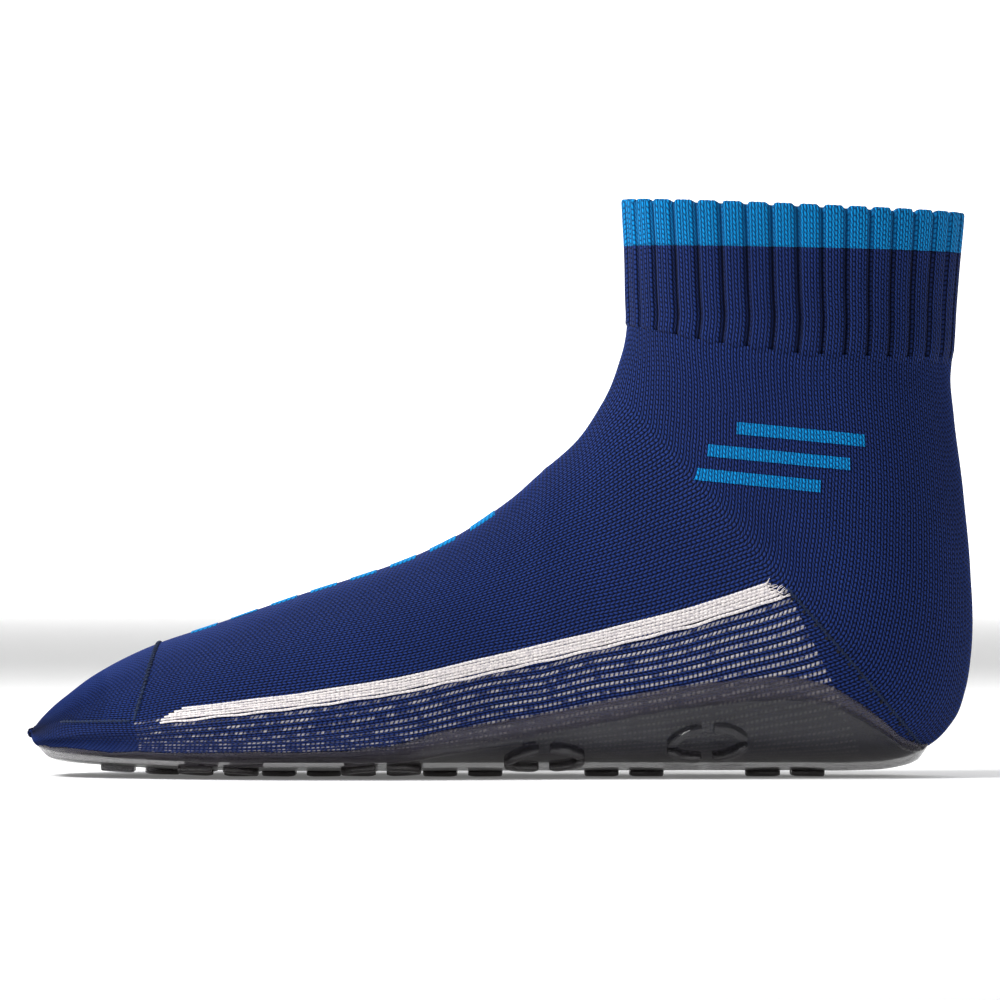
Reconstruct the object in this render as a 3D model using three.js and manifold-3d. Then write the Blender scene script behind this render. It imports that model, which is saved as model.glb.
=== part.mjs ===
// A knitted water sock with a moulded translucent sole, modelled at its real size in millimetres, +Z up.
// The toe points to -X and the heel to +X. The tread stands on z = 0, and the origin is under the
// middle of the foot. The knit is one stretched shell over a foot-shaped last, cut along the lines where
// the knitting machine changes yarn or direction. The ball of the foot and the ankle are the bending zones.
import * as THREE from "three";
import { mergeVertices } from "three/addons/utils/BufferGeometryUtils.js";
import Module from "manifold-3d";

const wasm = await Module();
wasm.setup();

// ---------------------------------------------------------------- driving dimensions

const footLength = 252; // toe tip to the back of the heel, over the knit
const shaftHeight = 149.6; // underside of the knit to the front of the top edge
const ballWidth = 94;
const archWidth = 74;
const heelWidth = 64;
const ankleWidth = 63;
const cuffWidth = 60;

const knitWall = 1.4;
const ribWall = 1.6; // cuff fabric under the ribs
const ribDepth = 0.9; // how far a rib stands above the groove beside it
const ribCount = 36; // three knit wales and one purl wale each, 144 needles in all
const weltWall = 2.4; // the top edge is folded double
const scallopRise = 0.8; // rib crests stand this much above the grooves on the top edge
const gap = 0.3; // clearance between pieces that touch

const stripeWidth = 4.6; // band of white laid-in yarn along each side
const seamRadius = 0.9; // linked toe seam
const sutureRadius = 0.5; // ridges where the toe and heel pockets close
const elasticRadius = 0.5; // covered elastic yarn laid inside the cuff
const elasticCount = 4;

const soleWall = 2.0;
const lipWall = 0.8; // thin margin where the sole is fused to the knit
const lipWidth = 2.6;
const treadDepth = 1.6;
const treadFlat = 0.7; // extra lug height that is ground off level at z = 0
const treadRoot = 0.6; // how deep a lug is rooted in the sole
const lugLength = 22;
const lugWidth = 14;
const lugBand = 2.4;
const lugBreak = 0.32; // angle left open at each of the four breaks in a ring, radians

const barThickness = 0.5;
const instepBarCount = 8; // row of short bars down the middle of the instep
const instepBarStart = -79; // place of the foremost one on the drawn last
const instepBarPitch = 10.6;
const instepBarLength = 7;
const instepBarWidth = 14;
const ankleBarCount = 3; // stack of slanted bars on each side of the ankle
const ankleBarAlong = [67, 73, 79];
const ankleBarUp = [75, 81, 87];
const ankleBarLength = [34, 38, 34];
const ankleBarWidth = 3.2;
const ankleBarTilt = 0.1; // radians

const pivotAlong = 10.4; // where the vertical foot sections start to fan round the ankle
const pivotUp = 121.1;
const rimTilt = 0.0405; // the top edge falls towards the heel, radians

// ---------------------------------------------------------------- the last

// Outlines are drawn on a last 252 long and 149.6 high, and scaled to the sizes above.
const drawnLength = 252;
const drawnHeight = 149.6;
const footbed = treadDepth + soleWall + gap; // height of the knit's flat underside
const place = ([x, up]) => [(x * footLength) / drawnLength, footbed + (up * shaftHeight) / drawnHeight];

const toeTip = place([-126, 7.1]);
const pivot = place([pivotAlong, pivotUp]);
const rimAcross = [Math.cos(rimTilt), -Math.sin(rimTilt)];
const rimNormal = [Math.sin(rimTilt), Math.cos(rimTilt)];

const instepOutline = [
  [-126, 7.1], [-124.9, 9.4], [-117, 17.1], [-109, 23], [-93, 31], [-77, 36.4], [-53, 44.7], [-29, 52.5],
  [-13, 59.6], [3, 70.3], [7.5, 74.2], [10.4, 76.8], [13.5, 79.5], [18.8, 84.1], [26.7, 95.1], [32, 108],
  [33.6, 120], [33.2, 135], [32.4, 149.6],
].map(place);
const underOutline = [
  [-126, 7.1], [-124.5, 4.2], [-117, 2.2], [-105, 1.2], [-88, 0.4], [-60, 0], [0, 0], [10.4, 0],
  [22, 0], [34, 0], [46, 0], [60, 0], [78, 0], [95, 0],
  [104, 0.6], [111, 2.6], [117, 6.4], [121.2, 11.5], [124, 19], [125.6, 29], [126, 38], [125.4, 51],
  [123.6, 71], [121, 92], [120.2, 104], [121, 114], [122, 129], [123.6, 145.9],
].map(place);
// The line half way round the tube: the white stripe below the ankle, the side of the leg above it.
const waistOutline = [
  [-126, 7.4], [-118, 11], [-97, 11.7], [-89.5, 12.9], [-53, 17.2], [-26.5, 21.2], [0, 27.1], [26.7, 33.2],
  [50.7, 39.1], [71, 45.6], [75, 47.1], [77.5, 60], [79, 80], [79, 108], [79, 148],
].map(place);

// A smooth curve through [q, value] pairs that never overshoots them (monotone cubic).
function smooth(pairs) {
  const points = [...pairs].sort((a, b) => a[0] - b[0]);
  const slope = points.slice(1).map((p, i) => (p[1] - points[i][1]) / (p[0] - points[i][0]));
  const tangent = points.map((_, i) => {
    const before = slope[i - 1];
    const after = slope[i];
    if (before === undefined || after === undefined) return before ?? after;
    return before * after <= 0 ? 0 : (2 * before * after) / (before + after);
  });
  return (q) => {
    let i = 0;
    while (i < points.length - 2 && q > points[i + 1][0]) i += 1;
    const width = points[i + 1][0] - points[i][0];
    const t = THREE.MathUtils.clamp((q - points[i][0]) / width, 0, 1);
    const t2 = t * t;
    const t3 = t2 * t;
    return (
      (2 * t3 - 3 * t2 + 1) * points[i][1] +
      (t3 - 2 * t2 + t) * width * tangent[i] +
      (3 * t2 - 2 * t3) * points[i + 1][1] +
      (t3 - t2) * width * tangent[i + 1]
    );
  };
}

// A station q picks one cross-section: 0 to 1 runs from the toe tip to the pivot in upright planes, 1 to 2
// fans round the pivot, and 2 to 3 climbs the leg to the top edge. r is the distance from the plane's origin.
const fanSweep = Math.PI / 2 - rimTilt;
const rimPoint = instepOutline[instepOutline.length - 1];
const legRise =
  (rimPoint[0] - pivot[0]) * rimNormal[0] + (rimPoint[1] - pivot[1]) * rimNormal[1];

function plane(q) {
  if (q <= 1) return { origin: [toeTip[0] + q * q * (pivot[0] - toeTip[0]), pivot[1]], out: [0, -1] };
  if (q <= 2) {
    const angle = -Math.PI / 2 + (q - 1) * fanSweep;
    return { origin: pivot, out: [Math.cos(angle), Math.sin(angle)] };
  }
  const up = (q - 2) * legRise;
  return { origin: [pivot[0] + up * rimNormal[0], pivot[1] + up * rimNormal[1]], out: rimAcross };
}

function stationOf(x, z) {
  const dx = x - pivot[0];
  const dz = z - pivot[1];
  const up = dx * rimNormal[0] + dz * rimNormal[1];
  if (up >= 0 && dx > 0) return { q: 2 + up / legRise, r: dx * rimAcross[0] + dz * rimAcross[1] };
  if (dx <= 0) return { q: Math.sqrt(Math.max(0, x - toeTip[0]) / (pivot[0] - toeTip[0])), r: -dz };
  return { q: 1 + (Math.atan2(dz, dx) + Math.PI / 2) / fanSweep, r: Math.hypot(dx, dz) };
}

const alongStations = (outline) =>
  smooth(outline.map(([x, z]) => stationOf(x, z)).map(({ q, r }) => [q, r]));
const instepAt = alongStations(instepOutline);
const underAt = alongStations(underOutline);
const waistAt = alongStations(waistOutline);

const foot = (x) => stationOf(place([x, 0])[0], footbed).q;
const fan = (degrees) => 1 + (Math.PI / 2 - THREE.MathUtils.degToRad(degrees)) / fanSweep;
const halfWidthAt = smooth([
  [0, 0.4], [foot(-124.9), ballWidth * 0.11], [foot(-120), ballWidth * 0.24], [foot(-110), ballWidth * 0.345],
  [foot(-93), ballWidth * 0.43], [foot(-68), ballWidth * 0.49], [foot(-46), ballWidth / 2],
  [foot(-22), ballWidth * 0.465], [1, archWidth / 2], [fan(68), heelWidth * 0.54], [fan(49), heelWidth / 2],
  [fan(30), ankleWidth / 2], [fan(14), ankleWidth * 0.485], [2, cuffWidth * 0.485], [3, cuffWidth / 2],
]);
// Share of the section, from the underside or back, at which it is widest.
const widestAt = smooth([
  [0, 0.45], [foot(-110), 0.4], [foot(-60), 0.34], [1, 0.32], [fan(60), 0.36], [fan(49), 0.4], [fan(20), 0.47],
  [3, 0.5],
]);
// Roundness exponents: 2 is an ellipse, more is boxier.
const underRound = smooth([
  [0, 2], [foot(-110), 2.2], [foot(-60), 2.9], [1, 2.8], [fan(60), 2.5], [fan(40), 2.2], [2, 2.1], [3, 2.15],
]);
const upperRound = smooth([
  [0, 2], [foot(-80), 2], [foot(-30), 1.9], [1, 1.85], [fan(40), 2], [2, 2.15], [3, 2.2],
]);

// How far the middle of the section lies towards the inner side of the foot.
const midlineAt = smooth([
  [0, 6], [foot(-118), 5.6], [foot(-100), 4], [foot(-75), 1], [foot(-52), 0], [foot(-10), -1.5],
  [fan(60), -0.6], [fan(40), 0], [3, 0],
]);

function section(q) {
  const { origin, out } = plane(q);
  const inner = instepAt(q);
  const outer = underAt(q);
  return {
    origin, out, inner, outer,
    widest: outer - widestAt(q) * (outer - inner),
    half: halfWidthAt(q),
    midline: midlineAt(q),
    under: underRound(q),
    upper: upperRound(q),
    waist: waistAt(q),
  };
}

// Half of a section as fine points [r, y] from the underside round to the instep.
const HALF_STEPS = 96;
function halfLoop(s) {
  const points = [];
  for (let i = 0; i <= HALF_STEPS; i += 1) {
    const t = (Math.PI * i) / HALF_STEPS;
    const below = i <= HALF_STEPS / 2;
    const n = below ? s.under : s.upper;
    const reach = below ? s.outer - s.widest : s.inner - s.widest;
    points.push([s.widest + reach * Math.abs(Math.cos(t)) ** (2 / n), s.half * Math.sin(t) ** (2 / n)]);
  }
  return points;
}

// A point of the last at station q. turn runs from 0 under the foot through 0.25 at the waistline to 0.5
// on the instep, and is negative on the other side.
const loops = new Map();
function loopAt(q) {
  const key = q.toFixed(6);
  if (!loops.has(key)) {
    const s = section(q);
    const points = halfLoop(s);
    const run = [0];
    for (let i = 1; i < points.length; i += 1)
      run.push(run[i - 1] + Math.hypot(points[i][0] - points[i - 1][0], points[i][1] - points[i - 1][1]));
    let i = 1;
    while (i < points.length - 1 && points[i][0] > s.waist) i += 1;
    const share = (points[i - 1][0] - s.waist) / Math.max(1e-6, points[i - 1][0] - points[i][0]);
    const waistRun = run[i - 1] + THREE.MathUtils.clamp(share, 0, 1) * (run[i] - run[i - 1]);
    loops.set(key, { s, points, run, waistRun });
  }
  return loops.get(key);
}
function lastPoint(q, turn) {
  const { s, points, run, waistRun } = loopAt(q);
  const whole = run[run.length - 1];
  const a = Math.abs(turn);
  const want = a <= 0.25 ? (a / 0.25) * waistRun : waistRun + ((a - 0.25) / 0.25) * (whole - waistRun);
  let i = 1;
  while (i < run.length - 1 && run[i] < want) i += 1;
  const f = THREE.MathUtils.clamp((want - run[i - 1]) / Math.max(1e-9, run[i] - run[i - 1]), 0, 1);
  const r = points[i - 1][0] + f * (points[i][0] - points[i - 1][0]);
  const y = points[i - 1][1] + f * (points[i][1] - points[i - 1][1]);
  return new THREE.Vector3(
    s.origin[0] + s.out[0] * r,
    s.midline + Math.sign(turn) * y,
    s.origin[1] + s.out[1] * r,
  );
}

// Below 0 inside the last, above 0 outside.
function field(x, y, z) {
  const { q, r } = stationOf(x, z);
  const s = section(q);
  const below = r > s.widest;
  const n = below ? s.under : s.upper;
  const reach = below ? s.outer - s.widest : s.widest - s.inner;
  return (Math.abs(y - s.midline) / s.half) ** n + (Math.abs(r - s.widest) / reach) ** n - 1;
}
function outward(p) {
  const e = 0.2;
  const n = new THREE.Vector3(
    field(p.x + e, p.y, p.z) - field(p.x - e, p.y, p.z),
    field(p.x, p.y + e, p.z) - field(p.x, p.y - e, p.z),
    field(p.x, p.y, p.z + e) - field(p.x, p.y, p.z - e),
  );
  return n.normalize();
}
// The surface point reached from an inner point in a direction, by halving.
function surfaceFrom(start, direction, far = 90) {
  let near = 0;
  let beyond = far;
  for (let i = 0; i < 34; i += 1) {
    const mid = (near + beyond) / 2;
    const p = start.clone().addScaledVector(direction, mid);
    if (field(p.x, p.y, p.z) < 0) near = mid;
    else beyond = mid;
  }
  return start.clone().addScaledVector(direction, (near + beyond) / 2);
}
// The surface point seen from the side at x, z. side is 1 or -1.
const onSide = (x, z, side) =>
  surfaceFrom(new THREE.Vector3(x, midlineAt(stationOf(x, z).q), z), new THREE.Vector3(0, side, 0));

// ---------------------------------------------------------------- solids

function geometryOf(points, faces) {
  const g = new THREE.BufferGeometry();
  g.setAttribute("position", new THREE.Float32BufferAttribute(points.flatMap((p) => [p.x, p.y, p.z]), 3));
  g.setIndex(faces.flat());
  return g;
}
function solidOf(geometry) {
  const g = geometry.clone();
  g.deleteAttribute("normal");
  g.deleteAttribute("uv");
  const merged = mergeVertices(g, 1e-4);
  return new wasm.Manifold(
    new wasm.Mesh({
      numProp: 3,
      vertProperties: new Float32Array(merged.attributes.position.array),
      triVerts: new Uint32Array(merged.index.array),
    }),
  );
}
function geometryFrom(solid) {
  const m = solid.getMesh();
  const g = new THREE.BufferGeometry();
  g.setAttribute("position", new THREE.BufferAttribute(new Float32Array(m.vertProperties), 3));
  g.setIndex(new THREE.BufferAttribute(new Uint32Array(m.triVerts), 1));
  g.computeVertexNormals();
  return g;
}

// A shell between two stacks of closed loops. ends "pole" closes a first loop to one point.
function shell(outerRows, innerRows, pole) {
  const n = outerRows[0].length;
  const points = [...outerRows.flat(), ...innerRows.flat()];
  const faces = [];
  const inner0 = outerRows.length * n;
  const quad = (a, b, c, d) => faces.push([a, b, c], [a, c, d]);
  for (let i = 0; i < outerRows.length - 1; i += 1)
    for (let j = 0; j < n; j += 1) {
      const k = (j + 1) % n;
      quad(i * n + j, i * n + k, (i + 1) * n + k, (i + 1) * n + j);
      const base = inner0 + i * n;
      quad(base + j, base + n + j, base + n + k, base + k);
    }
  const top = (outerRows.length - 1) * n;
  for (let j = 0; j < n; j += 1) {
    const k = (j + 1) % n;
    quad(top + j, top + k, inner0 + top + k, inner0 + top + j);
    if (!pole) quad(k, j, inner0 + j, inner0 + k);
  }
  if (pole) {
    points.push(pole.outer, pole.inner);
    for (let j = 0; j < n; j += 1) {
      const k = (j + 1) % n;
      faces.push([points.length - 2, k, j], [points.length - 1, inner0 + j, inner0 + k]);
    }
  }
  return solidOf(geometryOf(points, faces));
}

// A prism through the whole width whose side view is the polygon, given as [x, z] points.
function sidePrism(polygon, depth = 200) {
  const corners = polygon.filter(([x, z], i) => {
    const [ax, az] = polygon[(i + polygon.length - 1) % polygon.length];
    return Math.hypot(x - ax, z - az) > 1e-6;
  });
  const shape = new THREE.Shape(corners.map(([x, z]) => new THREE.Vector2(x, z)));
  const g = new THREE.ExtrudeGeometry(shape, { depth, bevelEnabled: false });
  g.translate(0, 0, -depth / 2).rotateX(Math.PI / 2);
  return solidOf(g);
}
// The line moved sideways by a distance, to the left of its direction.
function beside(line, distance) {
  return line.map(([x, z], i) => {
    const a = line[Math.max(0, i - 1)];
    const b = line[Math.min(line.length - 1, i + 1)];
    const length = Math.hypot(b[0] - a[0], b[1] - a[1]);
    return [x - ((b[1] - a[1]) / length) * distance, z + ((b[0] - a[0]) / length) * distance];
  });
}
const ribbon = (line, width) =>
  sidePrism([...beside(line, width / 2), ...beside(line, -width / 2).reverse()]);

// ---------------------------------------------------------------- cut lines, in side view

const toeCorner = place([-97, 11.7]);
const heelApex = place([75, 47.1]);
const toeSeamLine = [[-89, 60], [-91.6, 32.1], [-94.5, 20], [-97, 11.7]].map(place);
const toeGoreLine = [[-97, 11.7], [-118, 11], [-124, 8.6], [-140, 5]].map(place);
const toeBaseLine = [[-97, 11.7], [-95, -4], [-95, -14]].map(place);
const waistLine = waistOutline.filter(([x]) => x >= toeCorner[0] && x <= heelApex[0]);
const stripeLine = waistLine.slice(1);
const heelGoreLine = [[75, 47.1], [94, 25.3], [113, 3.2], [120, -5], [126, -14]].map(place);
const heelBaseLine = [[75, 47.1], [88.6, 19.2], [97, -1], [100, -14]].map(place);
const heelTopLine = [[75, 47.1], [100, 47.1], [150, 47.1]].map(place);
const ribLine = [[-10, 122], [33.9, 116.3], [55, 111.6], [79, 108.4], [100, 107.7], [150, 107.4]].map(place);
const weltLine = [[-10, 138.2], [33, 137.3], [123, 135.5], [150, 135]].map(place);

// The two bending zones are wedges about their axes, a little wider than the swing they allow.
const ankleAxis = place([76, 64]);
const ballAxis = place([-48, 2.4]);
const zoneNeck = 3.2; // width of a bending zone beside its axis
const ankleForward = 12; // degrees that the leg tips towards the toe
const ankleBack = 25; // and towards the heel
const toesUp = 30;
const swingSpare = 4; // degrees of room beyond each limit
const reach = 160;
const ray = ([x, z], degrees, up) => [
  x + reach * Math.cos(THREE.MathUtils.degToRad(degrees)),
  z + up + reach * Math.sin(THREE.MathUtils.degToRad(degrees)),
];
const kneeLine = (axis, up, front, back) => [
  ray(axis, front, up), [axis[0] - 2, axis[1] + up], [axis[0] + 2, axis[1] + up], ray(axis, back, up),
];
const ankleSlant = 172; // direction of the zone's lower edge, from the axis to the instep
const heelSlant = -12;
const ankleLowLine = kneeLine(ankleAxis, -zoneNeck / 2, ankleSlant, heelSlant);
const ankleHighLine = kneeLine(
  ankleAxis, zoneNeck / 2, ankleSlant - ankleForward - swingSpare, heelSlant + ankleBack + swingSpare,
);
const ballLean = 10; // degrees the zone's rear edge leans towards the heel
const ballLine = (shift, lean) => {
  const x = ballAxis[0] + shift;
  return [[x + 90 * Math.tan(THREE.MathUtils.degToRad(lean)), ballAxis[1] + 90], [x, ballAxis[1]], [x, -20]];
};
const ballFrontLine = ballLine(-zoneNeck / 2, ballLean - toesUp - swingSpare);
const ballBackLine = ballLine(zoneNeck / 2, ballLean);

// ---------------------------------------------------------------- the knit

const KNIT_COLUMNS = 32;
const footStations = [0.06, 0.13, 0.21, 0.3, 0.39, 0.48, 0.57, 0.66, 0.75, 0.84, 0.92, 1];
const fanStations = [1.1, 1.2, 1.29, 1.37, 1.44, 1.51, 1.58, 1.68, 1.79, 1.9, 2.02, 2.3];
const turns = (columns) => Array.from({ length: columns }, (_, j) => (j + 0.5) / columns - 0.5);

// Rows of points and the toe tip, moved outwards by a distance (inwards if it is below 0).
function knitRows(distance) {
  const rows = [...footStations, ...fanStations].map((q) =>
    turns(KNIT_COLUMNS).map((t) => {
      const p = lastPoint(q, t);
      return p.addScaledVector(outward(p), distance);
    }),
  );
  return { rows, tip: new THREE.Vector3(toeTip[0] - distance, midlineAt(0), toeTip[1]) };
}
function knitShell() {
  const outer = knitRows(0);
  const inner = knitRows(-knitWall);
  return shell(outer.rows, inner.rows, { outer: outer.tip, inner: inner.tip });
}
// The last as a solid body, grown by a distance all over and closed across the leg.
function grownLast(distance) {
  const { rows, tip } = knitRows(distance);
  const n = KNIT_COLUMNS;
  const top = (rows.length - 1) * n;
  const lastRow = rows[rows.length - 1];
  const points = [...rows.flat(), tip, lastRow[0].clone().lerp(lastRow[n / 2], 0.5)];
  const faces = [];
  for (let j = 0; j < n; j += 1) {
    const k = (j + 1) % n;
    for (let i = 0; i < rows.length - 1; i += 1)
      faces.push([i * n + j, i * n + k, (i + 1) * n + k], [i * n + j, (i + 1) * n + k, (i + 1) * n + j]);
    faces.push([points.length - 2, k, j], [points.length - 1, top + j, top + k]);
  }
  return solidOf(geometryOf(points, faces));
}

// The cuff has its own, finer shell, with three wales of every four standing out as a rib.
const cuffBase = 1.86; // station below the whole cuff
const weltBase = 2.5; // station below the dividing line between the ribs and the top band
const POINTS_PER_RIB = 3; // one in the groove and two on the crest
function cuffShell(wall, rows) {
  const columns = ribCount * POINTS_PER_RIB;
  const ribOf = (j) => (j % POINTS_PER_RIB === 0 ? 0 : ribDepth);
  const outer = rows.map((q) =>
    turns(columns).map((t, j) => {
      const p = lastPoint(q, t);
      const rise = q > weltBase && ribOf(j) ? scallopRise : 0;
      return p.addScaledVector(outward(p), ribOf(j) - ribDepth / 2).add(new THREE.Vector3(0, 0, rise));
    }),
  );
  const inner = outer.map((row, i) =>
    row.map((p, j) => {
      const q = lastPoint(rows[i], turns(columns)[j]);
      q.addScaledVector(outward(q), -wall);
      q.z = p.z;
      return q;
    }),
  );
  return shell(outer, inner);
}

const seams = [
  toeSeamLine, toeGoreLine, toeBaseLine, waistLine, heelGoreLine, heelBaseLine, heelTopLine,
  ankleLowLine, ankleHighLine, ballFrontLine, ballBackLine, ribLine,
].map((line) => ribbon(line, gap));
const stripeBand = (grow) => {
  const above = beside(stripeLine, stripeWidth / 2 + grow);
  const below = beside(stripeLine, -stripeWidth / 2 - grow);
  return sidePrism([...above, ...below.reverse()]);
};
const knit = knitShell();
const knitCut = seams.reduce((body, seam) => body.subtract(seam), knit).subtract(stripeBand(gap));

// Side-view regions. Each polygon follows the shared lines, so the cuts along them part the pieces.
const sky = 260;
const far = 220;
const toeUpperRegion = [...toeGoreLine, [-far, sky], [toeSeamLine[0][0], sky], ...toeSeamLine];
const toeLowerRegion = [...toeGoreLine, [-far, -40], [toeBaseLine[2][0], -40], ...[...toeBaseLine].reverse()];
const aboveWaist = [...waistLine, ...heelTopLine.slice(1), [far, sky], [toeSeamLine[0][0], sky], ...toeSeamLine];
const belowWaist = [...waistLine, ...heelBaseLine.slice(1), [heelBaseLine[3][0], -40], [toeBaseLine[2][0], -40],
  ...[...toeBaseLine].reverse()];
const beforeLine = (line) => [
  ...line, [line[line.length - 1][0], -40], [-far, -40], [-far, sky], [line[0][0], sky],
];
const afterLine = (line) => [
  ...line, [line[line.length - 1][0], -40], [far, -40], [far, sky], [line[0][0], sky],
];
const underLine = (line) => [...line, [far, -40], [-far, -40]];
const overLine = (line) => [...line, [far, sky], [-far, sky]];
const heelLowerRegion = [...heelBaseLine, [heelGoreLine[4][0], -40], ...[...heelGoreLine].reverse()];
const heelUpperRegion = [...heelGoreLine, [far, -40], ...[...heelTopLine].reverse()];

function regionOf(body, ...polygons) {
  return polygons.reduce((left, polygon) => left.intersect(sidePrism(polygon)), body);
}
const sides = [["outer", -1], ["inner", 1]];
const side = (sign) => {
  const box = new THREE.BoxGeometry(2 * far, far, 2 * sky);
  box.translate(0, (sign * far) / 2, 0);
  return solidOf(box);
};

// ---------------------------------------------------------------- materials

const fabric = (color, roughness) => new THREE.MeshStandardMaterial({ color, roughness, metalness: 0 });
const navyYarn = fabric(0x1c2f6b, 0.85);
const turquoiseYarn = fabric(0x0a80c4, 0.8);
const whiteYarn = fabric(0xece6e2, 0.75);
const flecked = fabric(0x343f6c, 0.85);
const elasticYarn = fabric(0x2b3350, 0.6);
const smokySole = new THREE.MeshStandardMaterial({
  color: 0x4b4a58, roughness: 0.16, metalness: 0, transparent: true, opacity: 0.82,
});

const sock = new THREE.Group();
const add = (name, geometry, material) => {
  const mesh = new THREE.Mesh(geometry, material);
  mesh.name = name;
  sock.add(mesh);
  return mesh;
};
const addKnit = (name, material, ...polygons) =>
  add(name, geometryFrom(regionOf(knitCut, ...polygons)), material);

// ---------------------------------------------------------------- knitted pieces

addKnit("toe_pocket_upper", navyYarn, toeUpperRegion);
addKnit("toe_pocket_lower", navyYarn, toeLowerRegion);
addKnit("forefoot_top_knit", navyYarn, aboveWaist, beforeLine(ballFrontLine));
addKnit("ball_flex_top_knit", navyYarn, aboveWaist, afterLine(ballFrontLine), beforeLine(ballBackLine));
addKnit("instep_knit", navyYarn, aboveWaist, afterLine(ballBackLine), underLine(ankleLowLine));
addKnit("ankle_flex_knit", navyYarn, overLine(ankleLowLine), underLine(ankleHighLine));
addKnit("leg_knit", navyYarn, overLine(ankleHighLine), underLine(ribLine));
addKnit("forefoot_sole_knit", flecked, belowWaist, beforeLine(ballFrontLine));
addKnit("ball_flex_sole_knit", flecked, belowWaist, afterLine(ballFrontLine), beforeLine(ballBackLine));
addKnit("arch_sole_knit", flecked, belowWaist, afterLine(ballBackLine));
addKnit("heel_pocket_lower", navyYarn, heelLowerRegion);
addKnit("heel_pocket_upper", navyYarn, heelUpperRegion);

const stripes = knit
  .intersect(stripeBand(0))
  .subtract(ribbon(ballFrontLine, gap))
  .subtract(ribbon(ballBackLine, gap));
for (const [name, sign] of sides) {
  const half = stripes.intersect(side(sign));
  add("side_stripe_" + name + "_toe", geometryFrom(regionOf(half, beforeLine(ballFrontLine))), whiteYarn);
  add("side_stripe_" + name + "_ball",
    geometryFrom(regionOf(half, afterLine(ballFrontLine), beforeLine(ballBackLine))), whiteYarn);
  add("side_stripe_" + name, geometryFrom(regionOf(half, afterLine(ballBackLine))), whiteYarn);
}

const ribs = cuffShell(ribWall, [cuffBase, 2.1, 2.9])
  .subtract(ribbon(ribLine, gap))
  .subtract(ribbon(weltLine, gap));
add("cuff_rib", geometryFrom(regionOf(ribs, overLine(ribLine), underLine(weltLine))), navyYarn);
const welt = cuffShell(weltWall, [weltBase, 3 - scallopRise / legRise]).subtract(ribbon(weltLine, gap));
add("welt_band", geometryFrom(regionOf(welt, overLine(weltLine))), turquoiseYarn);

// ---------------------------------------------------------------- seams and elastic

// A closed tube along a ring of points, with its section turned to face out.
function ringTube(path, radius, sides) {
  const n = path.length;
  const points = [];
  const faces = [];
  path.forEach((p, i) => {
    const ahead = path[(i + 1) % n].clone().sub(path[(i + n - 1) % n]).normalize();
    const out = outward(p).projectOnPlane(ahead).normalize();
    const up = ahead.clone().cross(out);
    for (let k = 0; k < sides; k += 1) {
      const a = (2 * Math.PI * k) / sides;
      points.push(
        p.clone().addScaledVector(out, radius * Math.cos(a)).addScaledVector(up, radius * Math.sin(a)),
      );
    }
  });
  for (let i = 0; i < n; i += 1)
    for (let k = 0; k < sides; k += 1) {
      const a = i * sides + k;
      const b = i * sides + ((k + 1) % sides);
      const c = ((i + 1) % n) * sides + ((k + 1) % sides);
      const d = ((i + 1) % n) * sides + k;
      faces.push([a, b, c], [a, c, d]);
    }
  return geometryOf(points, faces);
}
const ELASTIC_STEPS = 22;
const firstElastic = 2.2; // station of the lowest ring, just above the bottom of the ribs
const elasticPitch = 0.1;
for (let i = 0; i < elasticCount; i += 1) {
  const q = firstElastic + i * elasticPitch;
  const inset = ribWall + gap + elasticRadius + 0.2;
  const path = turns(ELASTIC_STEPS).map((t) => {
    const p = lastPoint(q, t);
    return p.addScaledVector(outward(p), -inset);
  });
  add("cuff_elastic_" + (i + 1), ringTube(path, elasticRadius, 4), elasticYarn);
}

// An open bead lying on the knit along a path of surface points.
const BEAD_SIDES = 6;
function bead(path, radius, steps) {
  const raised = path.map((p) => p.clone().addScaledVector(outward(p), radius + gap));
  const curve = new THREE.CatmullRomCurve3(raised);
  const shape = new THREE.Shape();
  shape.absarc(0, 0, radius, 0, 2 * Math.PI);
  return new THREE.ExtrudeGeometry(shape, {
    steps,
    curveSegments: BEAD_SIDES / 2,
    bevelEnabled: false,
    extrudePath: curve,
  });
}
const between = (a, b, share) => [a[0] + (b[0] - a[0]) * share, a[1] + (b[1] - a[1]) * share];
// Surface points over a side-view line from share a to share b of its length between two ends.
const over = (start, end, a, b, count, sign) =>
  Array.from({ length: count }, (_, i) => {
    const [x, z] = between(start, end, a + ((b - a) * i) / (count - 1));
    return onSide(x, z, sign);
  });
for (const [name, sign] of sides) {
  const heelRun = over(heelApex, heelGoreLine[2], 0.06, 0.9, 8, sign);
  add("heel_gore_" + name, bead(heelRun, sutureRadius, 14), navyYarn);
  const toeRun = over(toeCorner, toeGoreLine[1], 0.12, 0.98, 6, sign);
  add("toe_gore_" + name, bead(toeRun, sutureRadius, 8), navyYarn);
}
const seamTop = place([-91.6, 32.1]);
const seamStation = stationOf(seamTop[0], seamTop[1]).q;
const seamFoot = stationOf(toeCorner[0], toeCorner[1]).q;
const SEAM_STEPS = 17;
const seamPath = Array.from({ length: SEAM_STEPS }, (_, i) => {
  const turn = 0.27 + (0.46 * i) / (SEAM_STEPS - 1);
  const lean = Math.abs(turn - 0.5) / 0.25;
  const q = seamStation + (seamFoot - seamStation) * lean ** 1.5;
  return lastPoint(q, turn > 0.5 ? turn - 1 : turn);
});
add("toe_seam", bead(seamPath, seamRadius, 26), navyYarn);

// ---------------------------------------------------------------- knitted-in bars

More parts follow.
